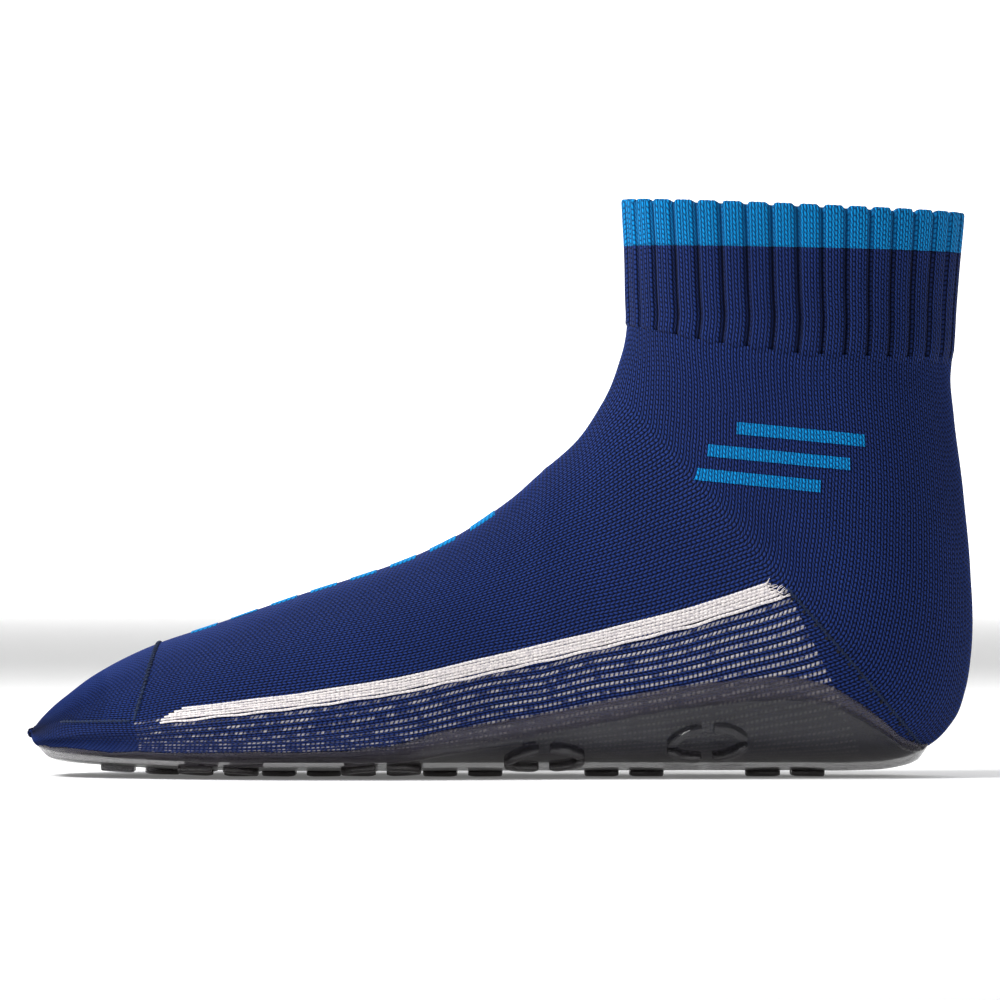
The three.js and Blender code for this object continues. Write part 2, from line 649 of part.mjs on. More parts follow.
// The bars are floats of turquoise yarn lying on the knit, cut from a thin layer around the last.
const layer = grownLast(gap + barThickness).subtract(grownLast(gap));
for (let i = 0; i < instepBarCount; i += 1) {
  const x = place([instepBarStart + i * instepBarPitch, 0])[0];
  const station = stationOf(x, pivot[1] - 1).q;
  const at = lastPoint(station, 0.5);
  const ahead = lastPoint(station + 0.01, 0.5).sub(at);
  const bar = new THREE.BoxGeometry(instepBarLength, instepBarWidth, 12);
  bar.rotateY(-Math.atan2(ahead.z, ahead.x)).translate(at.x, at.y, at.z);
  add("instep_bar_" + (i + 1), geometryFrom(layer.intersect(solidOf(bar))), turquoiseYarn);
}
for (const [name, sign] of sides)
  for (let i = 0; i < ankleBarCount; i += 1) {
    const [x, z] = place([ankleBarAlong[i], ankleBarUp[i]]);
    const bar = new THREE.BoxGeometry(ankleBarLength[i], 200, ankleBarWidth);
    bar.rotateY(ankleBarTilt).translate(x, 0, z);
    const onAnkle = layer.intersect(solidOf(bar)).intersect(side(sign));
    add("ankle_bar_" + name + "_" + (i + 1), geometryFrom(onAnkle), turquoiseYarn);
  }

// ---------------------------------------------------------------- sole

// Height of the sole's top edge in side view, from toe to heel.
const edgeOutline = [
  [-123.4, 4.6], [-118, 4.4], [-104, 3.4], [-80, 3.5], [-45, 3.9], [-33, 4.8], [-16, 9], [5, 12.5], [22, 15.8],
  [48, 20.8], [62, 22.5], [72, 23.2], [80, 22.8], [87, 20.9], [92, 18.2], [96, 15.5], [101.5, 11.3], [107, 6.6],
  [113.5, 4.7],
].map(place);
const edgeAt = smooth(edgeOutline);
const soleStart = edgeOutline[0][0];
const soleEnd = edgeOutline[edgeOutline.length - 1][0];
const leastEdge = 1.2; // the edge stays at least this far above the knit's underside
const heartHeight = footbed + 14;

// One upright slice of the last at x: its surface points and normals below the sole's edge. A share runs
// from -1 at the outer edge to 1 at the inner edge, by angle round a point inside the foot.
function soleSlice(x, shares) {
  const { q } = stationOf(x, footbed + 1);
  const middle = midlineAt(q);
  const roof = x < pivot[0] ? pivot[1] - section(q).inner : pivot[1];
  const start = x < pivot[0] ? pivot[1] - section(q).widest : heartHeight;
  const low = surfaceFrom(new THREE.Vector3(x, middle, start), new THREE.Vector3(0, 0, -1)).z;
  const heart = new THREE.Vector3(x, middle, Math.min(heartHeight, (low + roof) / 2));
  const edge = onSide(x, Math.max(edgeAt(x), low + leastEdge), 1);
  const open = Math.atan2(edge.y - middle, heart.z - edge.z);
  return shares.map((share) => {
    const a = share * open;
    const p = surfaceFrom(heart, new THREE.Vector3(0, Math.sin(a), -Math.cos(a)));
    return { p, n: outward(p) };
  });
}
const lipShare = 1 - lipWidth / (0.42 * ballWidth); // the lip is this share of the way out to the edge
const lipStep = 0.9; // where the sole reaches its full thickness
const SOLE_COLUMNS = 12;
const middleShares = Array.from(
  { length: SOLE_COLUMNS + 1 },
  (_, i) => ((2 * i) / SOLE_COLUMNS - 1) * lipStep,
);
const soleShares = [-1, -lipShare, ...middleShares, lipShare, 1];
const SOLE_ROWS = 22;
const endCrowding = 0.45; // how strongly the slices crowd together at the toe and the heel
const soleRows = Array.from({ length: SOLE_ROWS + 1 }, (_, i) => {
  const share = i / SOLE_ROWS;
  const eased = 0.5 - 0.5 * Math.cos(Math.PI * share);
  return soleStart + (soleEnd - soleStart) * THREE.MathUtils.lerp(share, eased, endCrowding);
});
const skinAt = (share) => (Math.abs(share) >= lipShare ? lipWall : soleWall);

function soleShell() {
  const rows = soleRows.map((x) => soleSlice(x, soleShares));
  const m = soleShares.length;
  const inner = rows.map((row) => row.map(({ p, n }) => p.clone().addScaledVector(n, -knitWall / 2)));
  const outer = rows.map((row) =>
    row.map(({ p, n }, j) => p.clone().addScaledVector(n, gap + skinAt(soleShares[j]))),
  );
  const points = [...outer.flat(), ...inner.flat()];
  const faces = [];
  const inside = rows.length * m;
  const quad = (a, b, c, d) => faces.push([a, c, b], [a, d, c]);
  const wall = (a, b) => quad(a, b, inside + b, inside + a);
  for (let i = 0; i < rows.length - 1; i += 1) {
    for (let j = 0; j < m - 1; j += 1) {
      const a = i * m + j;
      quad(a, a + m, a + m + 1, a + 1);
      quad(inside + a, inside + a + 1, inside + a + m + 1, inside + a + m);
    }
    wall((i + 1) * m, i * m);
    wall(i * m + m - 1, (i + 1) * m + m - 1);
  }
  for (let j = 0; j < m - 1; j += 1) {
    wall(j, j + 1);
    wall((rows.length - 1) * m + j + 1, (rows.length - 1) * m + j);
  }
  return solidOf(geometryOf(points, faces));
}

// The sole's outer skin in fine slices, with the arc length run to each point from the outer edge.
const FINE_COLUMNS = 60;
const fineShares = Array.from({ length: FINE_COLUMNS + 1 }, (_, i) => (2 * i) / FINE_COLUMNS - 1);
const SLICES_PER_MM = 50;
const slices = new Map();
function skinSlice(x) {
  const key = Math.round(x * SLICES_PER_MM);
  if (!slices.has(key)) {
    const slice = soleSlice(key / SLICES_PER_MM, fineShares);
    const skin = slice.map(({ p, n }) => p.clone().addScaledVector(n, gap + soleWall));
    const run = [0];
    for (let i = 1; i < skin.length; i += 1) run.push(run[i - 1] + skin[i].distanceTo(skin[i - 1]));
    slices.set(key, { slice, skin, run });
  }
  return slices.get(key);
}
// Arc length from the middle of the tread to the sole's edge on one side.
function skinRun(x, sign) {
  const { run } = skinSlice(x);
  const middle = run[FINE_COLUMNS / 2];
  return sign > 0 ? run[FINE_COLUMNS] - middle : middle;
}
// A point of the skin at x along the foot and an arc length across it from the middle of the tread.
function skinPoint(x, across) {
  const { slice, skin, run } = skinSlice(x);
  const want = THREE.MathUtils.clamp(run[FINE_COLUMNS / 2] + across, 0, run[FINE_COLUMNS]);
  let i = 1;
  while (i < run.length - 1 && run[i] < want) i += 1;
  const f = (want - run[i - 1]) / (run[i] - run[i - 1]);
  return {
    p: skin[i - 1].clone().lerp(skin[i], f),
    n: slice[i - 1].n.clone().lerp(slice[i].n, f).normalize(),
  };
}

// One of the four arcs of a tread ring centred at x, across. Its foot is ground level where it reaches z = 0.
const ARC_STEPS = 3;
function lugArc(x, across, quarter) {
  const start = (quarter * Math.PI) / 2 + lugBreak / 2;
  const sweep = Math.PI / 2 - lugBreak;
  const full = treadDepth + treadFlat;
  const points = [];
  const faces = [];
  for (let i = 0; i <= ARC_STEPS; i += 1) {
    const a = start + (sweep * i) / ARC_STEPS;
    const corner = (inset, height) => {
      const { p, n } = skinPoint(
        x + (lugLength / 2 - inset) * Math.cos(a),
        across + (lugWidth / 2 - inset) * Math.sin(a),
      );
      p.addScaledVector(n, height);
      p.z = Math.max(0, p.z);
      return p;
    };
    points.push(corner(0, -treadRoot), corner(0, full), corner(lugBand, full), corner(lugBand, -treadRoot));
  }
  for (let i = 0; i < ARC_STEPS; i += 1)
    for (let k = 0; k < 4; k += 1) {
      const a = i * 4 + k;
      const b = i * 4 + ((k + 1) % 4);
      faces.push([a, b, b + 4], [a, b + 4, a + 4]);
    }
  const last = ARC_STEPS * 4;
  faces.push([0, 2, 1], [0, 3, 2], [last, last + 1, last + 2], [last, last + 2, last + 3]);
  return solidOf(geometryOf(points, faces));
}

// Rings stand in three rows, the middle row half a pitch out of step with the outer ones.
const lugPitch = footLength * 0.171;
const firstRing = soleStart + footLength * 0.192;
const ringPairs = 4;
const outerShare = 0.62; // how far out a ring of the outer rows sits, of the arc up to the sole's edge
const rings = [[firstRing - lugPitch / 2, 0]];
for (let i = 0; i < ringPairs; i += 1) {
  const x = firstRing + i * lugPitch;
  rings.push([x, outerShare * skinRun(x, 1)], [x, -outerShare * skinRun(x, -1)], [x + lugPitch / 2, 0]);
}
let soleBody = soleShell();
for (const [x, across] of rings)
  for (let quarter = 0; quarter < 4; quarter += 1) soleBody = soleBody.add(lugArc(x, across, quarter));
soleBody = soleBody
  .subtract(grownLast(gap))
  .subtract(ribbon(ballFrontLine, gap))
  .subtract(ribbon(ballBackLine, gap));
add("sole_toe", geometryFrom(regionOf(soleBody, beforeLine(ballFrontLine))), smokySole);
const ballBody = regionOf(soleBody, afterLine(ballFrontLine), beforeLine(ballBackLine));
add("sole_ball", geometryFrom(ballBody), smokySole);
add("sole_heel", geometryFrom(regionOf(soleBody, afterLine(ballBackLine))), smokySole);

export default sock;
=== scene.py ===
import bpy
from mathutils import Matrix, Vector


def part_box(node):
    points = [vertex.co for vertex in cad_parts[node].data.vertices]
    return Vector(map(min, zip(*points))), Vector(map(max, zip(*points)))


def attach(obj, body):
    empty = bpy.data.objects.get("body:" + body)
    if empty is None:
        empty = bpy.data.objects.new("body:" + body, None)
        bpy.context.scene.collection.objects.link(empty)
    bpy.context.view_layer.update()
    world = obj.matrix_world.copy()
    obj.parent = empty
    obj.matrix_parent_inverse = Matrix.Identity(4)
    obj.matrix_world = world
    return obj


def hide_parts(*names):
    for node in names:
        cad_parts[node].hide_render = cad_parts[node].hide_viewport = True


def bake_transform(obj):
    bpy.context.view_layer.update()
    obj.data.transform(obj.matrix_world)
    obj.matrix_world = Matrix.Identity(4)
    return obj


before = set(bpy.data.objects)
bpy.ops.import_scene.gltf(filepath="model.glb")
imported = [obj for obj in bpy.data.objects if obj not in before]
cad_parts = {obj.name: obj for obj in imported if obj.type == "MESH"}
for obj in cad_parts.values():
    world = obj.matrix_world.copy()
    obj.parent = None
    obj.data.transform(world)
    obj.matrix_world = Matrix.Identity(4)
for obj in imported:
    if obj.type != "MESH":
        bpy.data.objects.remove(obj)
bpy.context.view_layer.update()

import math

import bmesh
import bpy
import numpy as np
from mathutils import Vector

bl_info = {
    "name": "Knitted water sock",
    "version": (1, 0, 0),
    "blender": (4, 5, 0),
    "location": "3D View > Sidebar > Water sock",
    "description": "Builds a knitted water sock with a moulded smoky sole and a pattern for every stitch",
    "category": "Object",
}

MM = 0.001


# ---------------------------------------------------------------- colours

def linear(hex_colour):
    """An sRGB hex colour as linear RGBA."""
    values = [int(hex_colour[i:i + 2], 16) / 255 for i in (1, 3, 5)]
    return tuple(v / 12.92 if v <= 0.04045 else ((v + 0.055) / 1.055) ** 2.4 for v in values) + (1.0,)


# ---------------------------------------------------------------- settings

def colour(name, description, default):
    return bpy.props.FloatVectorProperty(
        name=name, description=description, subtype="COLOR", size=4, min=0, max=1, default=linear(default))


def size(name, description, default, low=0.0, high=1.0):
    return bpy.props.FloatProperty(
        name=name, description=description, default=default, min=low, max=high, unit="LENGTH", precision=5)


class WaterSockSettings(bpy.types.PropertyGroup):
    course: size("Course", "Height of one row of stitches", 1.3 * MM)
    wall: size("Knit thickness", "Thickness of the jersey", 1.2 * MM)
    rib_wall: size("Rib thickness", "Thickness of the cuff under the ribs", 1.6 * MM)
    welt_wall: size("Welt thickness", "Thickness of the folded top edge", 2.4 * MM)
    rib_depth: size("Rib depth", "How far a rib stands above the groove beside it", 0.95 * MM)
    wale_ridge: size("Wale ridge", "Height of one column of stitches", 0.2 * MM)
    scallop: size("Scallop", "How far rib crests stand above the grooves on the top edge", 1.3 * MM)
    stripe_toe: size("Stripe width at the toe", "Width of the stripe at its toe end", 3.4 * MM)
    stripe_heel: size("Stripe width at the heel", "Width of the stripe at its heel end", 5.4 * MM)
    seam: size("Toe seam", "Radius of the linked toe seam", 0.45 * MM)
    suture: size("Suture", "Radius of the ridges where the heel and toe pockets close", 0.3 * MM)
    sole: size("Sole thickness", "Thickness of the moulded sole", 2.0 * MM)
    lip: size("Lip thickness", "Thickness of the sole's fused margin", 0.55 * MM)
    lug: size("Tread depth", "How far the tread rings stand out of the sole", 1.6 * MM)
    lug_band: size("Ring band", "Width of a tread ring's wall", 2.4 * MM)
    bar_lift: size("Bar lift", "How far a knitted-in bar stands out of the jersey", 0.22 * MM)
    elastic: size("Elastic", "Radius of the elastic inside the cuff", 0.5 * MM)

    navy: colour("Navy yarn", "Main yarn of the leg and the instep", "#1f3678")
    # Painted shade: the shadow colours fill the gaps between stitches. The navy one also darkens fibres of
    # the seam thread.
    navy_shade_and_fibre: colour("Navy shadow", "Navy in the gaps between stitches", "#01041a")
    turquoise: colour("Turquoise yarn", "Yarn of the top band and the bars", "#0592da")
    turquoise_gap_shade: colour("Turquoise shadow", "Turquoise in the gaps between stitches", "#02406f")
    white: colour("White yarn", "Yarn of the side stripe and the flecks", "#f0e9e7")
    panel: colour("Plated navy", "Navy of the side panel", "#233878")
    smoke: colour("Smoky rubber", "Body colour of the sole", "#1c1b23")


# ---------------------------------------------------------------- the last

def smooth(pairs):
    """A monotone cubic through (q, value) pairs, for arrays."""
    pts = sorted((float(a), float(b)) for a, b in pairs)
    q = np.array([p[0] for p in pts])
    v = np.array([p[1] for p in pts])
    slope = np.diff(v) / np.diff(q)
    tangent = np.empty_like(v)
    tangent[0], tangent[-1] = slope[0], slope[-1]
    a, b = slope[:-1], slope[1:]
    with np.errstate(divide="ignore", invalid="ignore"):
        tangent[1:-1] = np.where(a * b <= 0, 0, 2 * a * b / (a + b))

    def at(x):
        x = np.asarray(x, float)
        i = np.clip(np.searchsorted(q, x, side="right") - 1, 0, len(q) - 2)
        width = q[i + 1] - q[i]
        t = np.clip((x - q[i]) / width, 0, 1)
        t2, t3 = t * t, t * t * t
        return ((2 * t3 - 3 * t2 + 1) * v[i] + (t3 - 2 * t2 + t) * width * tangent[i]
                + (3 * t2 - 2 * t3) * v[i + 1] + (t3 - t2) * width * tangent[i + 1])
    return at


def node_box(node):
    lo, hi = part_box(node)
    return np.array(lo) / MM, np.array(hi) / MM


DRAWN_TOE = 126.0       # the outlines are drawn in millimetres on a last of this half length
DRAWN_TOP = 149.6       # and this height over the footbed
DRAWN_BALL = 93.9       # and this width across the ball of the foot
FOOTBED = node_box("arch_sole_knit")[0][2]
ALONG = -node_box("toe_pocket_upper")[0][0] / DRAWN_TOE
UP = (node_box("welt_band")[1][2] - FOOTBED) / DRAWN_TOP
ACROSS = 2 * abs(node_box("forefoot_sole_knit")[0][1]) / DRAWN_BALL


def place(points):
    p = np.array(points, float)
    return np.stack([p[:, 0] * ALONG, FOOTBED + p[:, 1] * UP], axis=1)


TOE_TIP = place([[-126, 7.1]])[0]
PIVOT = place([[10.4, 121.1]])[0]
RIM_TILT = 0.0405       # slope of the top edge in radians, falling to the heel
RIM_ACROSS = np.array([math.cos(RIM_TILT), -math.sin(RIM_TILT)])
RIM_NORMAL = np.array([math.sin(RIM_TILT), math.cos(RIM_TILT)])

INSTEP = place([
    [-126, 7.1], [-124.9, 9.4], [-117, 17.1], [-109, 23], [-93, 31], [-77, 36.4], [-53, 44.7], [-29, 52.5],
    [-13, 59.6], [3, 70.3], [7.5, 74.2], [10.4, 76.8], [13.5, 79.5], [18.8, 84.1], [26.7, 95.1], [32, 108],
    [33.6, 120], [33.2, 135], [32.4, 149.6]])
UNDER = place([
    [-126, 7.1], [-124.5, 4.2], [-117, 2.2], [-105, 1.2], [-88, 0.4], [-60, 0], [0, 0], [10.4, 0],
    [22, 0], [34, 0], [46, 0], [60, 0], [78, 0], [95, 0],
    [104, 0.6], [111, 2.6], [117, 6.4], [121.2, 11.5], [124, 19], [125.6, 29], [126, 38], [125.4, 51],
    [123.6, 71], [121, 92], [120.2, 104], [121, 114], [122, 129], [123.6, 145.9]])
WAIST = place([
    [-126, 7.4], [-118, 11], [-97, 11.7], [-89.5, 12.9], [-53, 17.2], [-26.5, 21.2], [0, 27.1], [26.7, 33.2],
    [50.7, 39.1], [71, 45.6], [75, 47.1], [77.5, 60], [79, 80], [79, 108], [79, 148]])

FAN_SWEEP = math.pi / 2 - RIM_TILT
LEG_RISE = float((INSTEP[-1] - PIVOT) @ RIM_NORMAL)


def plane(q):
    """Origin and outward direction, in side view, of the section planes at stations q."""
    q = np.asarray(q, float)
    angle = -math.pi / 2 + np.clip(q - 1, 0, 1) * FAN_SWEEP
    up = np.clip(q - 2, 0, None) * LEG_RISE
    toe_part = q <= 1
    ox = np.where(toe_part, TOE_TIP[0] + q * q * (PIVOT[0] - TOE_TIP[0]), PIVOT[0] + up * RIM_NORMAL[0])
    oz = np.where(toe_part, PIVOT[1], PIVOT[1] + up * RIM_NORMAL[1])
    return ox, oz, np.where(toe_part, 0.0, np.cos(angle)), np.where(toe_part, -1.0, np.sin(angle))


def station_of(x, z):
    """Station and distance from the section's origin for side-view points."""
    x, z = np.asarray(x, float), np.asarray(z, float)
    dx, dz = x - PIVOT[0], z - PIVOT[1]
    up = dx * RIM_NORMAL[0] + dz * RIM_NORMAL[1]
    leg = (up >= 0) & (dx > 0)
    toe_part = (dx <= 0) & ~leg
    q_toe = np.sqrt(np.clip(x - TOE_TIP[0], 0, None) / (PIVOT[0] - TOE_TIP[0]))
    q_fan = 1 + (np.arctan2(dz, np.where(toe_part, 1e-9, dx)) + math.pi / 2) / FAN_SWEEP
    q = np.where(leg, 2 + up / LEG_RISE, np.where(toe_part, q_toe, q_fan))
    r = np.where(leg, dx * RIM_ACROSS[0] + dz * RIM_ACROSS[1], np.where(toe_part, -dz, np.hypot(dx, dz)))
    return q, r


def along_stations(outline):
    q, r = station_of(outline[:, 0], outline[:, 1])
    return smooth(zip(q, r))


INSTEP_AT, UNDER_AT, WAIST_AT = map(along_stations, (INSTEP, UNDER, WAIST))


def foot(x):
    return float(station_of(x * ALONG, FOOTBED)[0])


def fan(degrees):
    return 1 + (math.pi / 2 - math.radians(degrees)) / FAN_SWEEP


# Widths in millimetres at the ball, arch, heel, ankle and cuff.
BALL, ARCH, HEEL, ANKLE, CUFF = (w * ACROSS for w in (94, 74, 64, 63, 60))
HALF_WIDTH = smooth([
    (0, 0.4), (foot(-124.9), BALL * 0.11), (foot(-120), BALL * 0.24), (foot(-110), BALL * 0.345),
    (foot(-93), BALL * 0.43), (foot(-68), BALL * 0.49), (foot(-46), BALL / 2), (foot(-22), BALL * 0.465),
    (1, ARCH / 2), (fan(68), HEEL * 0.54), (fan(49), HEEL / 2), (fan(30), ANKLE / 2),
    (fan(14), ANKLE * 0.485), (2, CUFF * 0.485), (3, CUFF / 2)])
# How far up the section its widest place lies, as a share of the section's height.
WIDEST = smooth([(0, 0.45), (foot(-110), 0.4), (foot(-60), 0.34), (1, 0.32), (fan(60), 0.36), (fan(49), 0.4),
                 (fan(20), 0.47), (3, 0.5)])
# Powers of the section's curves below and above that place: 2 is an ellipse and more is squarer.
UNDER_ROUND = smooth([(0, 2), (foot(-110), 2.2), (foot(-60), 2.9), (1, 2.8), (fan(60), 2.5), (fan(40), 2.2),
                      (2, 2.1), (3, 2.15)])
UPPER_ROUND = smooth([(0, 2), (foot(-80), 2), (foot(-30), 1.9), (1, 1.85), (fan(40), 2), (2, 2.15), (3, 2.2)])
# How far the middle of the foot leaves the straight line, in millimetres.
MIDLINE = smooth([(0, 6), (foot(-118), 5.6), (foot(-100), 4), (foot(-75), 1), (foot(-52), 0),
                  (foot(-10), -1.5), (fan(60), -0.6), (fan(40), 0), (3, 0)])


def field(p):
    """Below 0 inside the last and above 0 outside, for points in millimetres."""
    q, r = station_of(p[..., 0], p[..., 2])
    inner, outer = INSTEP_AT(q), UNDER_AT(q)
    widest = outer - WIDEST(q) * (outer - inner)
    below = r > widest
    n = np.where(below, UNDER_ROUND(q), UPPER_ROUND(q))
    reach = np.where(below, outer - widest, widest - inner)
    return ((np.abs(p[..., 1] - MIDLINE(q)) / HALF_WIDTH(q)) ** n
            + (np.abs(r - widest) / np.maximum(reach, 1e-6)) ** n - 1)


def outward(p, e=0.25):
    """Unit normals of the last at points near it."""
    n = np.empty_like(p)
    for axis in range(3):
        step = np.zeros(3)
        step[axis] = e
        n[..., axis] = field(p + step) - field(p - step)
    return n / np.maximum(np.linalg.norm(n, axis=-1, keepdims=True), 1e-12)


def surface_from(start, direction, far=90.0):
    """Where rays from inside the last leave it."""
    near = np.zeros(start.shape[:-1])
    beyond = np.full(start.shape[:-1], far)
    for _ in range(30):
        mid = (near + beyond) / 2
        inside = field(start + direction * mid[..., None]) < 0
        near = np.where(inside, mid, near)
        beyond = np.where(inside, beyond, mid)
    return start + direction * ((near + beyond) / 2)[..., None]


def on_side(x, z, side):
    """Points of the last seen at side-view x, z. side is -1 for the outer side and 1 for the inner."""
    x, z = np.asarray(x, float), np.asarray(z, float)
    start = np.stack([x, MIDLINE(station_of(x, z)[0]), z], axis=-1)
    direction = np.zeros_like(start)
    direction[..., 1] = side
    return surface_from(start, direction)


# ---------------------------------------------------------------- the knit's own grid

WALES = 144             # needles round the machine's cylinder
PER_WALE = 4            # mesh columns to one wale
COLUMNS = WALES * PER_WALE
HALF_STEPS = 140        # steps round half a section when its length is measured
SIDE = COLUMNS // 4     # column of the waistline, a quarter of the way round

# Stations run from 0 at the toe to 1 at the instep, 2 under the cuff and 3 at the top edge.
STATIONS = np.concatenate([
    np.linspace(0.012, 1, 240, endpoint=False), np.linspace(1, 2, 330, endpoint=False),
    np.linspace(2, 3, 40)])


def base_grid():
    """Points, normals and running lengths at every station and column.
    Column 0 runs under the foot and up the back, and column COLUMNS / 2 down the instep."""
    ox, oz, ux, uz = plane(STATIONS)
    inner, outer, half = INSTEP_AT(STATIONS), UNDER_AT(STATIONS), HALF_WIDTH(STATIONS)
    widest = outer - WIDEST(STATIONS) * (outer - inner)
    waist, middle = WAIST_AT(STATIONS), MIDLINE(STATIONS)
    t = np.linspace(0, math.pi, HALF_STEPS + 1)
    share = 1 - np.abs(np.arange(COLUMNS) / COLUMNS * 2 - 1)      # 0 under the foot, 1 at the instep
    right = np.where(np.arange(COLUMNS) <= COLUMNS // 2, 1.0, -1.0)
    grid = np.empty((len(STATIONS), COLUMNS, 3))
    for i in range(len(STATIONS)):
        below = t <= math.pi / 2
        n = np.where(below, UNDER_ROUND(STATIONS[i]), UPPER_ROUND(STATIONS[i]))
        reach = np.where(below, outer[i] - widest[i], inner[i] - widest[i])
        r = widest[i] + reach * np.abs(np.cos(t)) ** (2 / n)
        y = half[i] * np.clip(np.sin(t), 0, 1) ** (2 / n)
        run = np.concatenate([[0], np.cumsum(np.hypot(np.diff(r), np.diff(y)))])
        waist_run = np.interp(-waist[i], -r, run)
        want = np.where(share <= 0.5, share / 0.5 * waist_run,
                        waist_run + (share - 0.5) / 0.5 * (run[-1] - waist_run))
        rr, yy = np.interp(want, run, r), np.interp(want, run, y)
        grid[i] = np.stack([ox[i] + ux[i] * rr, middle[i] + right * yy, oz[i] + uz[i] * rr], axis=1)
    normal = outward(grid)
    length = np.concatenate([np.zeros((1, COLUMNS)),
                             np.cumsum(np.linalg.norm(np.diff(grid, axis=0), axis=2), axis=0)])
    return grid, normal, length


GRID, NORMAL, LENGTH = base_grid()


def sample(columns, q):
    """Points, normals and lengths at stations q, shaped rows by columns, of the given columns."""
    q = np.asarray(q, float)
    points, normals, length = np.empty(q.shape + (3,)), np.empty(q.shape + (3,)), np.empty(q.shape)
    for j, column in enumerate(columns):
        c = column % COLUMNS
        for k in range(3):
            points[:, j, k] = np.interp(q[:, j], STATIONS, GRID[:, c, k])
            normals[:, j, k] = np.interp(q[:, j], STATIONS, NORMAL[:, c, k])
        length[:, j] = np.interp(q[:, j], STATIONS, LENGTH[:, c])
    normals /= np.maximum(np.linalg.norm(normals, axis=2, keepdims=True), 1e-9)
    return points, normals, length


def crossing(columns, line, after=0.0):
    """Station where each column first passes a side-view line, counted from the toe. line is a function of
    x and z that is below 0 on the toe's side."""
    found = []
    for column in columns:
        c = column % COLUMNS
        value = line(GRID[:, c, 0], GRID[:, c, 2])
        ok = np.where((value[:-1] < 0) & (value[1:] >= 0) & (STATIONS[1:] > after))[0]
        if len(ok) == 0:
            found.append(STATIONS[-1] if value[-1] < 0 else STATIONS[0])
            continue
        i = ok[0]
        f = value[i] / (value[i] - value[i + 1])
        found.append(STATIONS[i] + f * (STATIONS[i + 1] - STATIONS[i]))
    return np.array(found)


def line_z(points):
    """Height of a side-view line at x."""
    p = place(points)
    return lambda x: np.interp(x, p[:, 0], p[:, 1])


def line_x(points):
    """Place along the foot of a side-view line at z."""
    p = place(points)
    p = p[np.argsort(p[:, 1])]
    return lambda z: np.interp(z, p[:, 1], p[:, 0])


TOE_SEAM = line_x([[-89, 60], [-91.6, 32.1], [-94.5, 20], [-97, 11.7]])
TOE_BASE = line_x([[-97, 11.7], [-95, -4], [-95, -14]])
HEEL_BASE = line_x([[75, 47.1], [88.6, 19.2], [97, -1], [100, -14]])
HEEL_GORE = line_x([[75, 47.1], [94, 25.3], [113, 3.2], [120, -5], [126, -14]])
HEEL_TOP = place([[0, 47.1]])[0][1]
RIB_LINE = line_z([[-10, 122], [33.9, 116.3], [55, 111.6], [79, 108.4], [100, 107.7], [150, 107.4]])
WELT_LINE = line_z([[-10, 138.2], [33, 137.3], [123, 135.5], [150, 135]])

LOWER = np.arange(-SIDE, SIDE + 1)
UPPER = np.arange(SIDE, COLUMNS - SIDE + 1)
ALL = np.arange(-SIDE, COLUMNS - SIDE + 1)
Q_SPLIT = foot(0)
Q_APEX = float(station_of(*place([[75, 47.1]])[0])[0])
Q_TOE = STATIONS[0]
Q_LEG = 1.05            # the cuff's lines are looked for past this station

# Rows of mesh between the two edges of each piece, enough for its bends.
ROWS = {"toe": 40, "front": 76, "ankle": 50, "leg": 58, "panel": 130, "heel_under": 34, "heel_back": 44,
        "ribs": 30, "top_band": 18, "instep_bar": 10, "ankle_bar": 6}


# ---------------------------------------------------------------- meshes

def new_object(name, vertices, faces, uv=None):
    mesh = bpy.data.meshes.new(name)
    mesh.from_pydata([tuple(v) for v in np.asarray(vertices) * MM], [], faces)
    if uv is not None:
        loops = np.empty(len(mesh.loops), int)
        mesh.loops.foreach_get("vertex_index", loops)
        layer = mesh.uv_layers.new(name="Knit")
        layer.data.foreach_set("uv", np.asarray(uv, np.float32)[loops].ravel())
    mesh.validate()
    mesh.polygons.foreach_set("use_smooth", [True] * len(mesh.polygons))
    obj = bpy.data.objects.new(name, mesh)
    bpy.context.collection.objects.link(obj)
    return obj


def grid_faces(rows, columns, start=0, flip=False, closed=False):
    faces = []
    span = columns if closed else columns - 1
    for i in range(rows - 1):
        for j in range(span):
            a = start + i * columns + j
            b = start + i * columns + (j + 1) % columns
            quad = (a, b, b + columns, a + columns)
            faces.append(quad[::-1] if flip else quad)
    return faces


def jersey_lift(wale, s):
    """Height of the jersey over the last at each wale coordinate: two yarn legs to one wale."""
    f = wale % 1.0
    legs = np.abs(np.sin(2 * math.pi * f)) ** 0.8 * 0.75
    return s.wale_ridge / MM * (legs + 0.25 * np.sin(math.pi * f) - 0.6)


def cloth(name, bands, s, lift=0.0):
    """One piece of jersey made of bands (columns, from station, to station, rows)."""
    vertices, faces, uvs = [], [], []
    start = 0
    for columns, begin, end, rows in bands:
        begin = np.broadcast_to(np.asarray(begin, float), (len(columns),))
        end = np.broadcast_to(np.asarray(end, float), (len(columns),))
        share = np.linspace(0, 1, rows)[:, None]
        q = begin[None, :] * (1 - share) + end[None, :] * share
        points, normals, length = sample(columns, q)
        wale = columns / PER_WALE
        points = points + normals * (jersey_lift(wale, s)[None, :, None] + lift)
        stitch = np.stack([np.broadcast_to(wale, q.shape), length / (s.course / MM)], axis=2)
        uvs.append(stitch.reshape(-1, 2))
        vertices.append(points.reshape(-1, 3))
        faces += grid_faces(rows, len(columns), start)
        start += rows * len(columns)
    vertices, uvs = np.concatenate(vertices), np.concatenate(uvs)
    return new_object(name, vertices, faces, uvs)


def weld(obj, distance=0.02):
    """Joins the bands of one piece where their edges meet."""
    b = bmesh.new()
    b.from_mesh(obj.data)
    bmesh.ops.remove_doubles(b, verts=b.verts, dist=distance * MM)
    b.to_mesh(obj.data)
    b.free()


